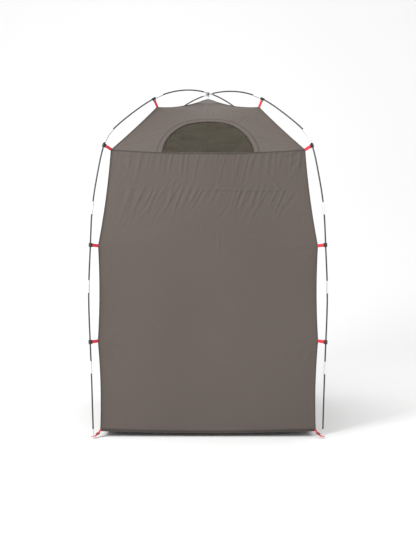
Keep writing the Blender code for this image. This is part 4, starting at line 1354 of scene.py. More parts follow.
    def build_door_frame(self, heights: np.ndarray) -> None:
        """Makes the two narrow panels beside the door and the one above it."""
        shape, (left, right) = self.shape, self.corners()
        low = np.append(heights[heights < shape.door_top - 1e-4], shape.door_top)
        high = np.insert(heights[heights > shape.door_top + 1e-4], 0, shape.door_top)
        for label, edges, ends in (
            ("left", (self.door_half, right), (self.door_half, shape.hem[0])),
            ("right", (left, -self.door_half), (-shape.hem[0], -self.door_half)),
        ):
            panel = self.panel(f"cloth_rear_{label}", Side.REAR, edges, low, 20)
            self.maker.hand_over(panel, Slot.FABRIC, ROOT, "rear_wall")
            hem = self.hem(f"hem_rear_{label}", Side.REAR, *ends)
        above = self.panel("cloth_rear_top", Side.REAR, (left, right), high, self.columns)
        self.maker.hand_over(above, Slot.FABRIC, ROOT, "rear_wall")

    def hem(self, name: str, side: Side, left: float, right: float, body: str = ROOT) -> bpy.types.Object:
        """A turned hem along the bottom of a panel.

        Args:
            name: The piece's name.
            side: Which wall.
            left: Where it begins.
            right: Where it ends.
            body: The body that it rides on.

        Returns:
            The object.
        """
        rows = np.array((0.0, 0.3, 0.9, 1.0)) * self.hem_height
        x = np.linspace(left, right, 81)[:, None] + np.zeros_like(rows)
        z = self.shape.hem_line(x) + rows
        rings = self.sheets[side].strip(x, z, (-0.0011, 0.0011))
        return self.maker.band(name, rings, Slot.FABRIC, body, self.maker.palette.hem)


# ------------------------------------------------------------------ roof and window


@dataclass
class Roof:
    """Four roof panels drawn up to the peak, the front one with its half-moon opening."""

    shape: TentShape
    maker: Maker
    columns: int = 151
    rows_low: int = 84
    rows_high: int = 72
    net_overlap: float = 0.010
    net_inset: float = 0.0016
    net_sag: float = 0.004
    window_height: float = 0.322
    window_sill: float = -0.0115
    band: float = 0.030
    patch_start: float = 1.80
    ease: float = 0.03
    ridge_ease: float = 0.022
    seam_ease: float = 0.014
    window_folds: int = 19
    sheets: dict[Side, Sheet] = field(default_factory=dict)

    def __post_init__(self) -> None:
        """Lays out the folds of the panels."""
        self.window_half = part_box("window_net")[1].x - self.net_overlap
        seam, crown, apex = self.shape.seam, self.shape.crown, self.shape.apex
        self.low_run = math.hypot(seam[0] - crown[0], crown[1] - seam[1])
        self.high_run = math.hypot(crown[0], apex[1] - crown[1])
        for side in Side:
            folds = self.folds(side)
            self.sheets[side] = Sheet(side, self.shape.roof, self.flat, self.freedom, folds, 0.26, 0.0018)

    def flat(self, u: np.ndarray, t: np.ndarray) -> tuple[np.ndarray, np.ndarray]:
        """Where a place is on the flat cloth: across it, and up it from the seam."""
        up = np.minimum(t, 1) * self.low_run + np.maximum(t - 1, 0) * self.high_run
        return u * self.shape.ridge(t)[0], up

    def freedom(self, u: np.ndarray, t: np.ndarray) -> np.ndarray:
        """How free the cloth is: not at all along its seams."""
        x, up = self.flat(u, t)
        edge = self.shape.ridge(t)[0] - np.abs(x)
        top = self.low_run + self.high_run
        free = soft_step(edge / self.ridge_ease) * soft_step(up / self.seam_ease)
        return free * soft_step((top - up) / self.ease)

    def folds(self, side: Side) -> Folds:
        """Folds that run from the crown clips, the shoulders and the peak."""
        folds = Folds(ROOF_SEED + list(Side).index(side))
        seam, crown, peak = self.shape.seam[0], self.shape.crown[0], self.low_run + self.high_run
        strong = 1.35 if side is Side.FRONT else 1.0
        folds.fan((0, peak), (-122, -58), (0.03, 0.34), 13, 0.0085, 0.0026)
        folds.fan((-crown, self.low_run), (-82, 8), (0.02, 0.24), 10, 0.0065, 0.0015)
        folds.fan((crown, self.low_run), (172, 262), (0.02, 0.28), 11, 0.0070, 0.0018 * strong)
        folds.fan((-seam, 0), (4, 50), (0.03, 0.34), 9, 0.0075, 0.0016)
        folds.fan((seam, 0), (128, 176), (0.03, 0.38), 11, 0.0075, 0.0020 * strong)
        folds.crumple((-0.45, 0.02), (0.45, 0.34), 26, (0.04, 0.12), (-30, 60), 0.007, 0.0007)
        if side is Side.FRONT:
            for k in range(self.window_folds):
                turn = math.pi * (k + 0.5 + folds.random.uniform(-0.3, 0.3)) / self.window_folds
                reach = (1.10, folds.random.uniform(1.28, 1.55))
                start, end = (self.on_arch(turn, grow) for grow in reach)
                folds.add(start, end, 0.0070, folds.random.uniform(0.0005, 0.0018))
        else:
            folds.gathers((-0.4, 0.16), (0.4, 0.16), 0.1, 0.2, 9, 0.018, 0.0022)
        return folds

    def on_arch(self, turn: float, grow: float) -> tuple[float, float]:
        """A place on the window's arch, or outside it.

        Args:
            turn: 0 at the right end of the sill and pi at the left one.
            grow: 1 on the arch.

        Returns:
            Across, and up the slope.
        """
        up = self.window_sill + self.window_height * grow * np.sin(turn)
        return self.window_half * grow * np.cos(turn), up

    def round_window(self, turn: np.ndarray, out: np.ndarray | float) -> tuple[np.ndarray, np.ndarray]:
        """The roof's parameters beside the window's arch.

        Args:
            turn: As on_arch takes it.
            out: How far outside the arch, in metres.

        Returns:
            Both parameters.
        """
        up = self.window_sill + (self.window_height + out) * np.sin(turn)
        return self.on_slope((self.window_half + out) * np.cos(turn), up)

    def on_slope(self, x: np.ndarray, up: np.ndarray) -> tuple[np.ndarray, np.ndarray]:
        """The roof's parameters at a place across and up its slope."""
        low, high = np.full_like(x, -0.05), np.full_like(x, 1.6)
        for _ in range(28):
            t = (low + high) / 2
            width = self.shape.ridge(np.maximum(t, 0.0))[0]
            point = self.shape.roof(x / width, np.maximum(t, 0.0))
            short = self.shape.up_slope(point) < up
            low, high = np.where(short, t, low), np.where(short, high, t)
        t = np.maximum(low, 0.0)
        return x / self.shape.ridge(t)[0], t

    def build(self) -> None:
        """Makes the panels, the window and the paler sheet round the peak, which is a painted highlight."""
        t = np.concatenate([np.linspace(0, 1, self.rows_low), np.linspace(1, 2, self.rows_high)[1:]])
        row, column = np.meshgrid(t, np.linspace(-1, 1, self.columns), indexing="ij")
        flat = np.stack(self.flat(column, row), axis=-1)
        for side in Side:
            name = f"roof_{side.name.lower()}"
            points = self.sheets[side].at(column, row)
            keep = None
            if side is Side.FRONT:
                smooth = self.shape.roof(column, row)
                up = self.shape.up_slope(smooth) - self.window_sill
                reach = np.hypot(smooth[..., 0] / self.window_half, up / self.window_height)
                inside = (reach < 1 + 0.4 * self.band / self.window_half) & (up > -0.003) & (row < 1.3)
                keep = ~(inside[:-1, :-1] & inside[1:, :-1] & inside[:-1, 1:] & inside[1:, 1:])
            panel = self.maker.grid(f"cloth_{name}", points, self.maker.look(Slot.FABRIC), flat, keep)
            self.maker.hand_over(panel, Slot.FABRIC, ROOT, name)
        self.build_window()
        self.build_patch()

    def build_window(self) -> None:
        """Makes the net, the stitched band round it and the binding along its sill."""
        sheet = self.sheets[Side.FRONT]
        across = np.sin(np.linspace(-math.pi / 2, math.pi / 2, 91)) * 0.9999
        share = np.linspace(0, 1, 46)
        grow = 1 + self.net_overlap / self.window_half
        x = np.broadcast_to(across * self.window_half * grow, (len(share), len(across)))
        base = self.window_sill - 0.002
        up = base + self.window_height * grow * share[:, None] * np.sqrt(1 - across**2)[None]
        u, t = self.on_slope(x, up)
        sag = -self.net_inset - self.net_sag * np.sin(np.pi * share)[:, None] * (1 - across**2)[None]
        points = sheet.at(u, t, sag + swell(x, up, 0.12, 0.0008, 5))
        flat = np.stack([x, up], axis=-1)
        net = self.maker.grid("cloth_window_net", points, self.maker.look(Slot.NET), flat)
        self.maker.hand_over(net, Slot.NET, ROOT, "window_net")
        self.build_band(sheet)

    def build_band(self, sheet: Sheet) -> None:
        """Makes the bands round the opening."""
        turn = np.linspace(0, math.pi, 121)[:, None]
        out = np.array((0.0, 0.08, 0.5, 0.92, 1.0))[None] * self.band
        rings = sheet.strip(*self.round_window(turn, out), (-0.0042, 0.0016), 0.0009)
        self.maker.band("window_band", rings)
        x = np.linspace(-1, 1, 61)[:, None] * (self.window_half + self.band) + np.zeros(3)
        seam = -self.shape.seam_sag * (1 - (x / self.shape.seam[0]) ** 2) * math.sin(self.shape.slope)
        up = seam + (self.window_sill + 0.001 - seam) * np.array((0.08, 0.5, 1.0))
        self.maker.band("window_sill", sheet.strip(*self.on_slope(x, up), (-0.0040, 0.0014)))

    def build_patch(self) -> None:
        """Makes a paler sheet round the peak: a painted highlight where the top of the roof takes the light."""
        t = np.linspace(self.patch_start, 1.999, 9)
        u = np.linspace(-1, 1, 12, endpoint=False)
        row, column = np.meshgrid(t, u, indexing="ij")
        around = np.concatenate([self.sheets[side].at(column, row, 0.0011) for side in Side], axis=1)
        lengths = np.arange(around.shape[1])[None] * 0.004 + np.zeros((len(t), 1))
        flat = np.stack([lengths, (t[:, None] - 1) * self.high_run + np.zeros_like(lengths)], axis=-1)
        # A paler sheet laid over the roof round the peak, as a painted highlight.
        patch = self.maker.grid("peak_patch", around, self.maker.palette.peak, flat, wrap=True)
        self.maker.hand_over(patch, Slot.FABRIC)


@dataclass
class WindowFlap:
    """The cover inside the window, hanging open, and the pocket that it is stowed in."""

    walls: Walls
    maker: Maker
    depth: float = 0.2
    below_seam: float = 0.008
    inset: float = 0.0048
    sewn: float = 0.0008

    def build(self) -> None:
        """Makes both."""
        self.build_flap()
        self.build_pocket()

    def build_flap(self) -> None:
        """Makes the half-moon, which hangs from its folding line."""
        low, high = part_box("window_flap")
        reach, half = high.z - low.z, high.x
        middle = (low.y + high.y) / 2
        across = np.sin(np.linspace(-math.pi / 2, math.pi / 2, 71)) * 0.9995
        share = np.linspace(0, 1, 41)[:, None]
        x = np.broadcast_to(across * half, (len(share), len(across)))
        drop = reach * share * np.sqrt(1 - across**2)[None]
        freedom = soft_step(drop / 0.05) * soft_step((1 - share) * 6)
        y = middle + 0.0022 * np.sin(x * 38 + 1) * freedom * share - 0.001
        points = np.stack([x, y, high.z - drop], axis=-1)[::-1]
        cloth = np.stack([x, -drop], axis=-1)[::-1]
        flap = self.maker.grid("cloth_window_flap", points, self.maker.look(Slot.FABRIC), cloth)
        self.maker.hand_over(flap, Slot.FABRIC, "window_flap", "window_flap")
        turn = np.linspace(0.02, math.pi - 0.02, 90)
        x, y, z = half * np.cos(turn), np.full_like(turn, middle - 0.001), high.z - reach * np.sin(turn)
        rings = turned_rings(np.stack([x, y, z], axis=1), np.full(len(turn), 0.0013), 6)
        binding = self.maker.band("flap_binding", rings, Slot.FABRIC, "window_flap", self.maker.palette.hem)

    def build_pocket(self) -> None:
        """Makes the pocket inside the front wall, sewn down on three sides."""
        sheet = self.walls.sheets[Side.FRONT]
        seam = self.walls.shape.seam[1]
        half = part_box("window_pocket")[1].x
        heights = np.linspace(seam - self.depth, seam - self.below_seam, 41)
        z, x = np.meshgrid(heights, np.linspace(-half, half, 101), indexing="ij")
        edge = np.minimum(half - np.abs(x), z - (seam - self.depth))
        inset = self.sewn + (self.inset - self.sewn) * soft_step(edge / 0.03)
        points, flat = sheet.at(x, z, -inset), np.stack([x, z], axis=-1)
        fabric = self.maker.look(Slot.FABRIC)
        pocket = self.maker.grid("cloth_window_pocket", points[:, ::-1], fabric, flat[:, ::-1])
        self.maker.hand_over(pocket, Slot.FABRIC, ROOT, "window_pocket")
        x = np.linspace(-half, half, 81)[:, None] + np.zeros(3)
        z = seam - self.below_seam - np.array((0.0, 0.006, 0.012)) + np.zeros_like(x)
        rings = sheet.strip(x, z, (-self.inset - 0.0010, -self.inset + 0.0008), 0.0003)
        mouth = self.maker.band("pocket_mouth", rings, material=self.maker.palette.hem)


# ------------------------------------------------------------------ door and zip


@dataclass
class Door:
    """Two leaves that meet at a coil zip, each on its own sewn fold."""

    walls: Walls
    maker: Maker
    coils: "StitchTree"
    hinge_gap: float = 0.004
    tape_width: float = 0.013
    coil_pitch: float = 0.0021
    coil_length: float = 0.0042
    fold_half: float = 0.007
    above_hem: float = 0.018
    tape_gap: float = 0.0004
    coil_radius: float = 0.0007
    coil_lift: float = 0.0019
    head_rows: tuple[float, ...] = (0.010, 0.005, 0.0)

    def build(self) -> None:
        """Makes the leaves and all that is sewn to them."""
        shape = self.walls.shape
        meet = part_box("door_leaf_right")[0].x
        top = shape.door_top - self.hinge_gap
        heights = self.walls.rows(shape.hem_corner, top)
        outer = self.walls.door_half - self.hinge_gap
        for label, sign in (("left", 1), ("right", -1)):
            body = f"door_leaf_{label}"
            edges = sorted((sign * meet, sign * outer))
            leaf = self.walls.panel(f"cloth_{body}", Side.REAR, edges, heights, 85)
            self.maker.hand_over(leaf, Slot.FABRIC, body, body)
            hem = self.walls.hem(f"hem_{body}", Side.REAR, *edges, body)
            tape = self.tape(label, sign, meet, top)
            head = self.top_binding(body, edges, top)
            self.zip_coil(label, sign, meet, top)
            self.fold(label, sign)

    def tape(self, label: str, sign: int, meet: float, top: float) -> bpy.types.Object:
        """The zip's upright tape, on the leaf's outside."""
        z = np.linspace(self.walls.shape.hem_middle + self.above_hem, top, 150)[:, None] + np.zeros(3)
        x = sign * np.linspace(meet + self.tape_gap, meet + self.tape_width, 3)[None] + np.zeros_like(z)
        rings = self.walls.sheets[Side.REAR].strip(x, z, (0.0002, 0.0010), 0.0002)
        return self.maker.band(f"zip_tape_{label}", rings, Slot.DARK_WEBBING, f"door_leaf_{label}")

    def top_binding(self, body: str, edges: Sequence[float], top: float) -> bpy.types.Object:
        """A binding along the leaf's free top edge."""
        x = np.linspace(*edges, 60)[:, None] + np.zeros(3)
        z = top - np.array(self.head_rows) + np.zeros_like(x)
        rings = self.walls.sheets[Side.REAR].strip(x, z, (-0.0010, 0.0012), 0.0004)
        return self.maker.band(f"head_{body}", rings, Slot.FABRIC, body, self.maker.palette.hem)

    def zip_coil(self, label: str, sign: int, meet: float, top: float) -> None:
        """One half of the coil, along the leaf's edge."""
        z = np.linspace(self.walls.shape.hem_middle + 0.012, top - 0.002, 200)
        x = np.full_like(z, sign * (meet + self.coil_length / 2))
        line = self.walls.sheets[Side.REAR].at(x, z, self.coil_lift)
        dark = self.maker.look(Slot.DARK_WEBBING)
        across = (-90.0, 0.0, 0.0)  # far longer than the tangent, so that the coils lie across the line
        sizes = {"Pitch": self.coil_pitch, "Length": self.coil_length, "Radius": self.coil_radius}
        mesh = self.coils.run(f"zip_coil_{label}", [line], dark, **sizes, Across=across)
        coil = self.maker.piece(mesh.name, mesh, dark)
        self.maker.hand_over(coil, Slot.DARK_WEBBING, f"door_leaf_{label}")

    def fold(self, label: str, sign: int) -> None:
        """The soft strip of cloth that joins the leaf to the wall."""
        shape = self.walls.shape
        half = self.walls.door_half
        heights = np.linspace(shape.hem_middle + self.above_hem, shape.door_top - 0.006, 100)
        z, share = np.meshgrid(heights, np.linspace(-1, 1, 9), indexing="ij")
        x = sign * half + share * self.fold_half
        points = self.walls.sheets[Side.REAR].at(x, z, 0.0009)
        fabric = self.maker.look(Slot.FABRIC)
        strip = self.maker.grid(f"door_fold_{label}", points, fabric, np.stack([x, z], axis=-1))
        start, end = Side.REAR.place(np.array([[sign * (half + off), 0, 1] for off in (0.001, -0.005)]))
        tuple(start)
        tuple(end)
        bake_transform(strip)


# ------------------------------------------------------------------ seams and stitches


@dataclass
class Seams:
    """The rolled seams of the corners, eaves and ridges, and the rows of stitches beside them."""

    walls: Walls
    roof: Roof
    maker: Maker
    tubes: TubeTree
    stitches: StitchTree
    radius: float = 0.0019
    beside: float = 0.0065
    pitch: float = 0.0042
    stitch: float = 0.0027
    thread: float = 0.00036
    proud: float = 0.0004

    def build(self) -> None:
        """Makes the seams and the stitches."""
        shape = self.walls.shape
        z = np.linspace(shape.hem_corner, shape.seam[1], 120)
        t = np.linspace(0, 1.99, 90)
        corner, (width, height, _, _) = shape.half_width(z), shape.ridge(t)
        x = np.linspace(-1, 1, 90) * shape.seam[0]
        lines = []
        for side in Side:
            lines.append(side.place(np.stack([corner, -corner, z], axis=1)))
            lines.append(side.place(np.stack([width, -width, height], axis=1)))
            lines.append(side.place(shape.wall(x, np.full_like(x, shape.seam[1]))))
        lines += self.window_lines(np.linspace(0, math.pi, 140), (0.0006, 0.0004), 0.0005)
        hem = self.maker.palette.hem
        mesh = self.tubes.run("rolled_seams", lines, hem, Radius=self.radius, Sides=8)
        self.maker.hand_over(self.maker.piece("rolled_seams", mesh, hem), Slot.FABRIC)
        self.sew("stitches_body", self.body_lines(z, t, corner))
        turn = np.linspace(0.02, math.pi - 0.02, 200)
        self.sew("stitches_window", self.window_lines(turn, (0.0035, 0.0035), 0.0018))

    def body_lines(self, z: np.ndarray, t: np.ndarray, corner: np.ndarray) -> list[Line]:
        """Rows beside the corners, the eaves and the ridges, and along the hems."""
        shape, lines = self.walls.shape, []
        x = np.linspace(-1, 1, 160) * (shape.seam[0] - self.beside)
        u = 1 - self.beside / np.maximum(shape.ridge(t)[0], 2 * self.beside)
        for side in Side:
            wall, roof = self.walls.sheets[side], self.roof.sheets[side]
            lines += [wall.at(sign * (corner - self.beside), z, self.proud) for sign in (-1, 1)]
            lines += [roof.at(sign * u[:-4], t[:-4], self.proud) for sign in (-1, 1)]
            lines.append(wall.at(x, np.full_like(x, shape.seam[1] - self.beside), self.proud))
            if side is not Side.REAR:
                across = np.linspace(-1, 1, 160) * (shape.hem[0] - 0.01)
                lines.append(wall.at(across, shape.hem_line(across) + self.walls.hem_height * 0.8, 0.0014))
        return lines

    def window_lines(self, turn: np.ndarray, insets: tuple[float, float], lift: float) -> list[Line]:
        """Two lines round the window's band.

        Args:
            turn: Places round the arch.
            insets: How far each line is inside the band's edge.
            lift: How far outside the roof they are.

        Returns:
            The lines.
        """
        front = self.roof.sheets[Side.FRONT]
        outs = (insets[0], self.roof.band - insets[1])
        return [front.at(*self.roof.round_window(turn, out), lift) for out in outs]

    def sew(self, name: str, lines: Sequence[Line]) -> None:
        """Makes one piece of stitches along lines."""
        thread = self.maker.palette.thread
        sizes = {"Pitch": self.pitch, "Length": self.stitch, "Radius": self.thread}
        mesh = self.stitches.run(name, lines, thread, **sizes, Across=(0.0, 0.0, 0.0))
        self.maker.hand_over(self.maker.piece(name, mesh, thread), Slot.FABRIC)


# ------------------------------------------------------------------ webbing


@dataclass
class Webbing:
    """The tabs that hold the clips, and the straps that hold the pole feet."""

    shape: TentShape
    maker: Maker
    width: float = 0.018
    thickness: float = 0.0011
    loop: float = 0.0026
    inside: float = 0.006
    strap_rise: float = 0.010
    strap_tucked: float = 0.004
    strap_out: float = 0.008
    strap_flat: tuple[float, float] = (0.0155, 0.0115)
    plate_half: float = 0.65
    eyelet_edge: float = 0.0078
    buckle_share: float = 0.42
    buckle_margin: float = 0.003
    buckle_half: float = 0.0075
    buckle_bars: tuple[tuple[float, float], ...] = ((-0.006, 0.0016), (0.0, 0.0012), (0.006, 0.0016))
    buckle_side: float = 0.0017
    loop_turn: float = 148.0

    def build(self) -> None:
        """Makes one piece of webbing for each corner, and the buckles."""
        red = self.maker.look(Slot.WEBBING)
        buckles: list[np.ndarray] = []
        for corner in Corner:
            rings = [self.tab(corner, level) for level in Level]
            strap, plate, buckle = self.foot_strap(corner)
            name = f"webbing_{corner.label}"
            straps = self.maker.solids(name, [*rings, strap], red, cloth=True)
            self.maker.hand_over(straps, Slot.WEBBING, ROOT, f"corner_webbing_{corner.label}")
            eyelet = self.maker.solids(f"foot_tab_{corner.label}", [plate], red, cloth=True, loop=True)
            self.maker.hand_over(eyelet, Slot.WEBBING)
            buckles += buckle
        bars = self.maker.solids("strap_buckles", buckles, self.maker.look(Slot.CLIP))
        self.maker.hand_over(bars, Slot.CLIP)

    def tab(self, corner: Corner, level: Level) -> np.ndarray:
        """Rings of a tab that runs from the corner seam, round the clip's bar and back."""
        place = clip_place(corner, level)
        start = -self.shape.tab_reach - self.inside
        turn = np.radians(np.linspace(self.loop_turn, -self.loop_turn, 15))
        loop = np.stack([self.loop * np.cos(turn), self.loop * np.sin(turn)], axis=1)
        out = np.array([(start, 0.0007), (start / 2, 0.0008), (-0.008, 0.0009), (-0.0045, 0.0010)])
        path = np.concatenate([out, loop, out[::-1] * (1, -1)])
        points = np.array([place @ Vector((x, y, 0.0)) for x, y in path])
        return ribbon_rings(points, place.to_3x3().col[2], self.width, self.thickness)

    def foot_strap(self, corner: Corner) -> tuple[np.ndarray, np.ndarray, list[np.ndarray]]:
        """The strap from a bottom corner to its pole foot.

        Args:
            corner: Which corner.

        Returns:
            Rings of the strap, a closed loop of rings for its eyeletted end, and the buckle's bars.
        """
        low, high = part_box(f"grommet_{corner.label}")
        centre = (low + high) / 2
        out = corner.outward
        side = UP.cross(out)
        corner_radius = math.sqrt(2) * self.shape.hem[0]
        start = out * (corner_radius - self.strap_tucked) + UP * (self.shape.hem_corner + self.strap_rise)
        knee = out * (corner_radius + self.strap_out) + UP * (self.shape.hem_corner - self.strap_tucked)
        flat, end = (centre - out * back for back in self.strap_flat)
        path = np.array([start, start.lerp(knee, 0.5), knee, knee.lerp(flat, 0.5), flat, end])
        strap = ribbon_rings(path, side, self.width, self.thickness * 1.3)
        turn = np.linspace(0, 2 * math.pi, 32, endpoint=False)
        hole = (high.x - low.x) / 2 + 0.0002
        rings = []
        for a in turn:
            spoke = out * math.cos(a) + side * math.sin(a)
            reach = hole + self.eyelet_edge * (0.62 if abs(a - math.pi) > 0.9 else 0.75)
            section = ((hole, -1), (hole, 1), (reach, 1), (reach, -1))
            corners = ((r, UP * (h * self.thickness * self.plate_half)) for r, h in section)
            rings.append([centre + spoke * r + lift for r, lift in corners])
        middle = knee.lerp(flat, self.buckle_share)
        along = (flat - knee).normalized()
        return strap, np.array(rings), self.buckle(middle, along, side)

    def buckle(self, middle: Vector, along: Vector, side: Vector) -> list[np.ndarray]:
        """The bars of a sliding buckle: three across the strap and one along each of its edges."""
        half, reach = self.width / 2 + self.buckle_margin, self.buckle_half
        bars = []
        for shift, radius in self.buckle_bars:
            ends = [middle + along * shift + side * s * half for s in (-1, 1)]
            bars.append(self.bar(ends, radius))
        for s in (-1, 1):
            ends = [middle + along * shift + side * s * half for shift in (-reach, reach)]
            bars.append(self.bar(ends, self.buckle_side))
        return bars

    @staticmethod
    def bar(ends: Sequence[Vector], radius: float) -> np.ndarray:
        """Rings of a round bar with softened ends."""
        shares = (0.0, 0.03, 0.5, 0.97, 1.0)
        path = np.array([ends[0].lerp(ends[1], share) for share in shares])
        return turned_rings(path, [radius * k for k in (0.6, 1.0, 1.0, 1.0, 0.6)], 8)


# ------------------------------------------------------------------ poles


class PoleLine:
    """The middle line of one arched pole, from foot to foot, by its length."""

    CLOSEST = 0.004  # between two knots

    def __init__(self, cord: str, corner: Corner) -> None:
        """Reads the line.

        Args:
            cord: The node of the elastic cord that runs inside the pole.
            corner: The corner at its far end.
        """
        across = np.array(UP.cross(corner.outward))
        along = np.array(corner.outward)
        points = np.array([v.co for v in frame["nodes"][cord].data.vertices])
        off = points @ across
        middle = points[np.abs(off) > 0.5 * np.abs(off).max()]
        flat = np.unique(np.stack([middle @ along, middle[:, 2]], axis=1).round(5), axis=0)
        flat = flat[np.argsort(np.arctan2(flat[:, 0], flat[:, 1] - 1.0))]
        foot = abs(math.sqrt(2) * frame["record"]["mounts"][0]["pos_m"][0])
        flat = np.concatenate([[(-foot, 0.0)], flat, [(foot, 0.0)]])
        steps = np.linalg.norm(np.diff(flat, axis=0), axis=1)
        flat = flat[np.concatenate([[True], steps > self.CLOSEST])]
        self.knots = np.concatenate([[0.0], np.cumsum(np.linalg.norm(np.diff(flat, axis=0), axis=1))])
        self.flat = flat
        self.bends = self.second_derivatives()
        self.along = along
        self.crossing = float(np.interp(0.0, flat[:, 0], self.knots))

    def second_derivatives(self) -> np.ndarray:
        """Of a natural cubic spline through the knots."""
        h = np.diff(self.knots)
        count = len(self.knots)
        matrix, right = np.eye(count), np.zeros((count, 2))
        for k in range(1, count - 1):
            matrix[k, k - 1 : k + 2] = h[k - 1], 2 * (h[k - 1] + h[k]), h[k]
            after, before = self.flat[k + 1] - self.flat[k], self.flat[k] - self.flat[k - 1]
            right[k] = 6 * (after / h[k] - before / h[k - 1])
        return np.linalg.solve(matrix, right)

    def at(self, s: np.ndarray) -> np.ndarray:
        """Points at lengths from the crossing, negative towards the near foot."""
        s = np.asarray(s) + self.crossing
        k = np.clip(np.searchsorted(self.knots, s) - 1, 0, len(self.knots) - 2)
        h = (self.knots[k + 1] - self.knots[k])[:, None]
        b = (s - self.knots[k])[:, None] / h
        a = 1 - b
        flat = a * self.flat[k] + b * self.flat[k + 1]
        flat += ((a**3 - a) * self.bends[k] + (b**3 - b) * self.bends[k + 1]) * h**2 / 6
        return np.stack([flat[:, 0] * self.along[0], flat[:, 0] * self.along[1], flat[:, 1]], axis=1)

    def length_at_height(self, z: float) -> float:
        """How far from the crossing the far leg is at a height."""
        s = np.linspace(0.5, self.knots[-1] - self.crossing, 4000)
        return float(np.interp(-z, -self.at(s)[:, 2], s))


@dataclass
class Poles:
    """Two arched poles in sections, with their metal ferrules and bent sleeves."""

    maker: Maker
    tubes: TubeTree
    radius: float = 0.00425
    ferrule_radius: float = 0.0052
    elbow_radius: float = 0.00565
    elbow_half: float = 0.050
    ferrules: tuple[tuple[float, float], ...] = (
        (0.0135, 0.042),
        (0.412, 0.478),
        (1.335, 1.405),
        (1.775, 1.845),
        (2.225, 2.295),
    )
    elbow: float = 0.932

    def build(self) -> None:
        """Makes the poles."""
        black, silver = self.maker.look(Slot.POLE), self.maker.look(Slot.METAL)
        lines, sleeves = [], []
        for cord, corner in (("shock_cord_a", Corner.REAR_RIGHT), ("shock_cord_b", Corner.REAR_LEFT)):
            pole = PoleLine(cord, corner)
            end = pole.length_at_height(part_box(f"leg_pole_{corner.label}")[0].z + self.radius)
            lines.append(pole.at(np.linspace(-end, end, 700)))
            bend = (self.elbow - self.elbow_half, self.elbow + self.elbow_half)
            for sign in (-1, 1):
                sleeves += [self.sleeve(pole, sign, *spot, self.ferrule_radius) for spot in self.ferrules]
                sleeves.append(self.sleeve(pole, sign, *bend, self.elbow_radius))
        mesh = self.tubes.run("pole_tubes", lines, black, Radius=self.radius, Sides=16)
        poles = self.maker.piece("pole_tubes", mesh, black)
        legs = [f"leg_pole_{corner.label}" for corner in Corner]
        self.maker.hand_over(poles, Slot.POLE, ROOT, "crown_pole_a", "crown_pole_b", *legs)
        metal = self.maker.solids("pole_sleeves", sleeves, silver)
        self.maker.hand_over(metal, Slot.METAL, ROOT, *(f"elbow_{corner.label}" for corner in Corner))

    def sleeve(self, pole: PoleLine, sign: int, low: float, high: float, radius: float) -> np.ndarray:
        """Rings of a metal sleeve with chamfered ends and a rolled groove near each.

        Args:
            pole: The pole that it is on.
            sign: -1 for the near half of the pole and 1 for the far half.
            low: Where it begins, from the crossing.
            high: Where it ends.
            radius: Of its outside.

        Returns:
            The rings.
        """
        ends = ((0.0, -0.0007), (0.0008, 0.0), (0.0048, 0.0), (0.0058, -0.0004), (0.0068, 0.0))
        middle = [(s, 0.0) for s in np.linspace(low + 0.012, high - 0.012, 8)]
        stations = [(low + s, dr) for s, dr in ends] + middle + [(high - s, dr) for s, dr in reversed(ends)]
        path = pole.at(np.array([sign * s for s, _ in stations]))
        return turned_rings(path, [radius + dr for _, dr in stations], 18)


# ------------------------------------------------------------------ hanging things


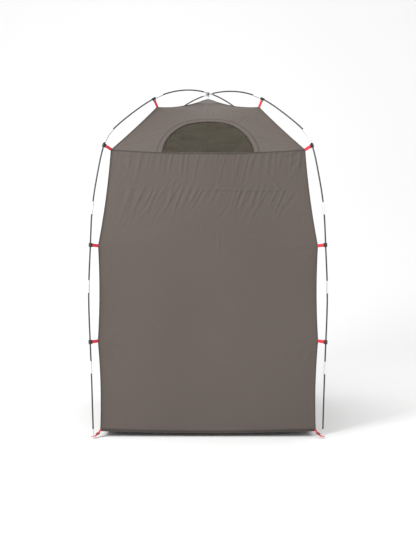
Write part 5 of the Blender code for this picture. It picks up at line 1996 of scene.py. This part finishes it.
@dataclass
class Hangings:
    """The strap inside the roof, the ties beside the door, and their sewn loops."""

    maker: Maker
    strap_width: float = 0.020
    tie_width: float = 0.012
    thickness: float = 0.0015
    loop_radius: float = 0.0082
    toggle_radius: float = 0.0045
    toggle_half: float = 0.015
    ripple: tuple[float, float] = (0.0006, 0.9)

    def build(self) -> None:
        """Makes the strap and both ties."""
        self.build_strap()
        for label in ("left", "right"):
            self.build_tie(label)

    def build_strap(self) -> None:
        """Makes the strap and the open loop at its foot."""
        pivot = Vector(next(j for j in frame["joints"] if j["name"] == "strap_swing")["pos_m"])
        low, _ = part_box("hanging_strap")
        centre = Vector((0.0, pivot.y, low.z + self.loop_radius + self.thickness / 2))
        run = pivot.z - centre.z - self.loop_radius
        depth, rate = self.ripple
        path = np.array([pivot + Vector((0, depth * math.sin(k * rate), -k * run / 12)) for k in range(13)])
        doubled = path[8:] + (0.0, self.thickness * 0.9, 0.0)
        layers = [ribbon_rings(line, RIGHT, self.strap_width, self.thickness) for line in (path, doubled)]
        turn = np.linspace(0, 2 * math.pi, 28, endpoint=False)
        webbing = self.maker.look(Slot.DARK_WEBBING)
        strap = self.maker.solids("hanging_webbing", layers, webbing, cloth=True)
        self.maker.hand_over(strap, Slot.DARK_WEBBING, "hanging_strap", "hanging_strap")
        half = np.array(RIGHT) * self.strap_width / 2
        rings = []
        for a in turn:
            out = np.array((0.0, math.sin(a), math.cos(a)))
            point, spoke = np.array(centre) + out * self.loop_radius, out * self.thickness / 2
            outer, inner = point + spoke, point - spoke
            rings.append([outer - half, outer + half, inner + half, inner - half])
        ring = self.maker.solids("hanging_loop", [np.array(rings)], webbing, cloth=True, loop=True)
        self.maker.hand_over(ring, Slot.DARK_WEBBING, "hanging_strap")

    def build_tie(self, label: str) -> None:
        """Makes one tie: a strap doubled round a toggle."""
        body = f"door_tie_{label}"
        low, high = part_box(body)
        x, y = (low.x + high.x) / 2, (low.y + high.y) / 2
        foot = low.z + self.toggle_radius
        z = np.linspace(high.z, foot + 0.001, 14)
        path = np.stack([np.full_like(z, x), y + 0.0004 * np.sin(z * 90), z], axis=1)
        strip = ribbon_rings(path, RIGHT, self.tie_width, self.thickness * 0.9)
        webbing = self.maker.look(Slot.DARK_WEBBING)
        tie = self.maker.solids(f"tie_webbing_{label}", [strip], webbing, cloth=True)
        self.maker.hand_over(tie, Slot.DARK_WEBBING, body, body)
        half_profile = ((-1.0, 0.55), (-0.96, 0.8), (-0.8, 0.98), (-0.45, 1.0), (-0.3, 0.72))
        profile = [*half_profile, *((-share, k) for share, k in reversed(half_profile))]
        line = np.array([(x + share * self.toggle_half, y, foot) for share, _ in profile])
        rings = turned_rings(line, [self.toggle_radius * k for _, k in profile], 16)
        toggle = self.maker.solids(f"tie_toggle_{label}", [rings], self.maker.look(Slot.CLIP))
        self.maker.hand_over(toggle, Slot.CLIP, body)


# ------------------------------------------------------------------ studio


@dataclass
class Studio:
    """A plain pale sweep of floor, soft lamps and the camera."""

    eye: tuple[float, float, float] = (0.0, -4.035, 0.90)
    lens: float = 39.4
    film: float = 36.0
    white: float = 0.87
    near_edge: float = -9.0
    half_floor: float = 12.0
    bend_start: float = 3.0
    bend: float = 2.5
    top: float = 9.0

    def build(self) -> None:
        """Sets the studio up."""
        self.build_floor()
        self.build_world()
        self.lamp("key", (-3.4, -3.6, 3.4), (0.0, -0.3, 1.1), 1.3, 185.0)
        self.lamp("top", (0.2, -0.6, 4.8), (0.0, 0.0, 1.0), 3.0, 48.0)
        self.build_camera()

    def build_floor(self) -> None:
        """A floor that curves up into a backdrop."""
        shader = Shader("pale_floor", (self.white,) * 3, 0.9)
        shader.set(Specular_IOR_Level=0.1)
        start, bend = self.bend_start, self.bend
        turns = np.linspace(0.1, math.pi / 2, 12)
        profile = [(self.near_edge, 0.0), (start, 0.0)]
        profile += [(start + bend * math.sin(a), bend - bend * math.cos(a)) for a in turns]
        profile.append((start + bend, self.top))
        points = [(x, y, z) for y, z in profile for x in (-self.half_floor, self.half_floor)]
        faces = [(2 * k, 2 * k + 1, 2 * k + 3, 2 * k + 2) for k in range(len(profile) - 1)]
        mesh = bpy.data.meshes.new("floor")
        mesh.from_pydata(points, [], faces)
        mesh.materials.append(shader.material)
        mesh.shade_smooth()
        add_object("floor", mesh)

    def build_world(self) -> None:
        """An even, nearly white surround."""
        world = bpy.data.worlds.new("studio")
        world.use_nodes = True
        background = world.node_tree.nodes["Background"]
        background.inputs["Color"].default_value = (1.0, 1.0, 1.0, 1.0)
        background.inputs["Strength"].default_value = 1.0
        bpy.context.scene.world = world
        bpy.context.scene.view_settings.view_transform = "Standard"

    @staticmethod
    def lamp(name: str, place: Sequence[float], target: Sequence[float], size: float, power: float) -> None:
        """Adds a soft square lamp.

        Args:
            name: The lamp's name.
            place: Where it is.
            target: What it points at.
            size: Its side.
            power: Its power in watts.
        """
        data = bpy.data.lights.new(name, "AREA")
        data.size = size
        data.energy = power
        lamp = add_object(name, data)
        lamp.location = place
        lamp.rotation_euler = (Vector(target) - Vector(place)).to_track_quat("-Z", "Y").to_euler()

    def build_camera(self) -> None:
        """A level camera in front of the window side."""
        data = bpy.data.cameras.new("camera")
        data.lens = self.lens
        data.sensor_width = self.film
        camera = add_object("camera", data)
        camera.location = self.eye
        camera.rotation_euler = (math.pi / 2, 0.0, 0.0)
        bpy.context.scene.camera = camera


# ------------------------------------------------------------------ the whole tent


def main() -> None:
    """Builds the tent and its studio."""
    logging.basicConfig(level=logging.INFO, format="%(name)s: %(message)s")
    Studio().build()
    palette = Palette()
    maker = Maker(palette)
    shape = TentShape()
    tubes, stitches = TubeTree(), StitchTree()
    walls = Walls(shape, maker)
    roof = Roof(shape, maker)
    walls.build()
    roof.build()
    WindowFlap(walls, maker).build()
    Door(walls, maker, stitches).build()
    Seams(walls, roof, maker, tubes, stitches).build()
    Webbing(shape, maker).build()
    Poles(maker, tubes).build()
    Hangings(maker).build()
    palette.dress_frame_nodes()


if __name__ == "__main__":
    main()
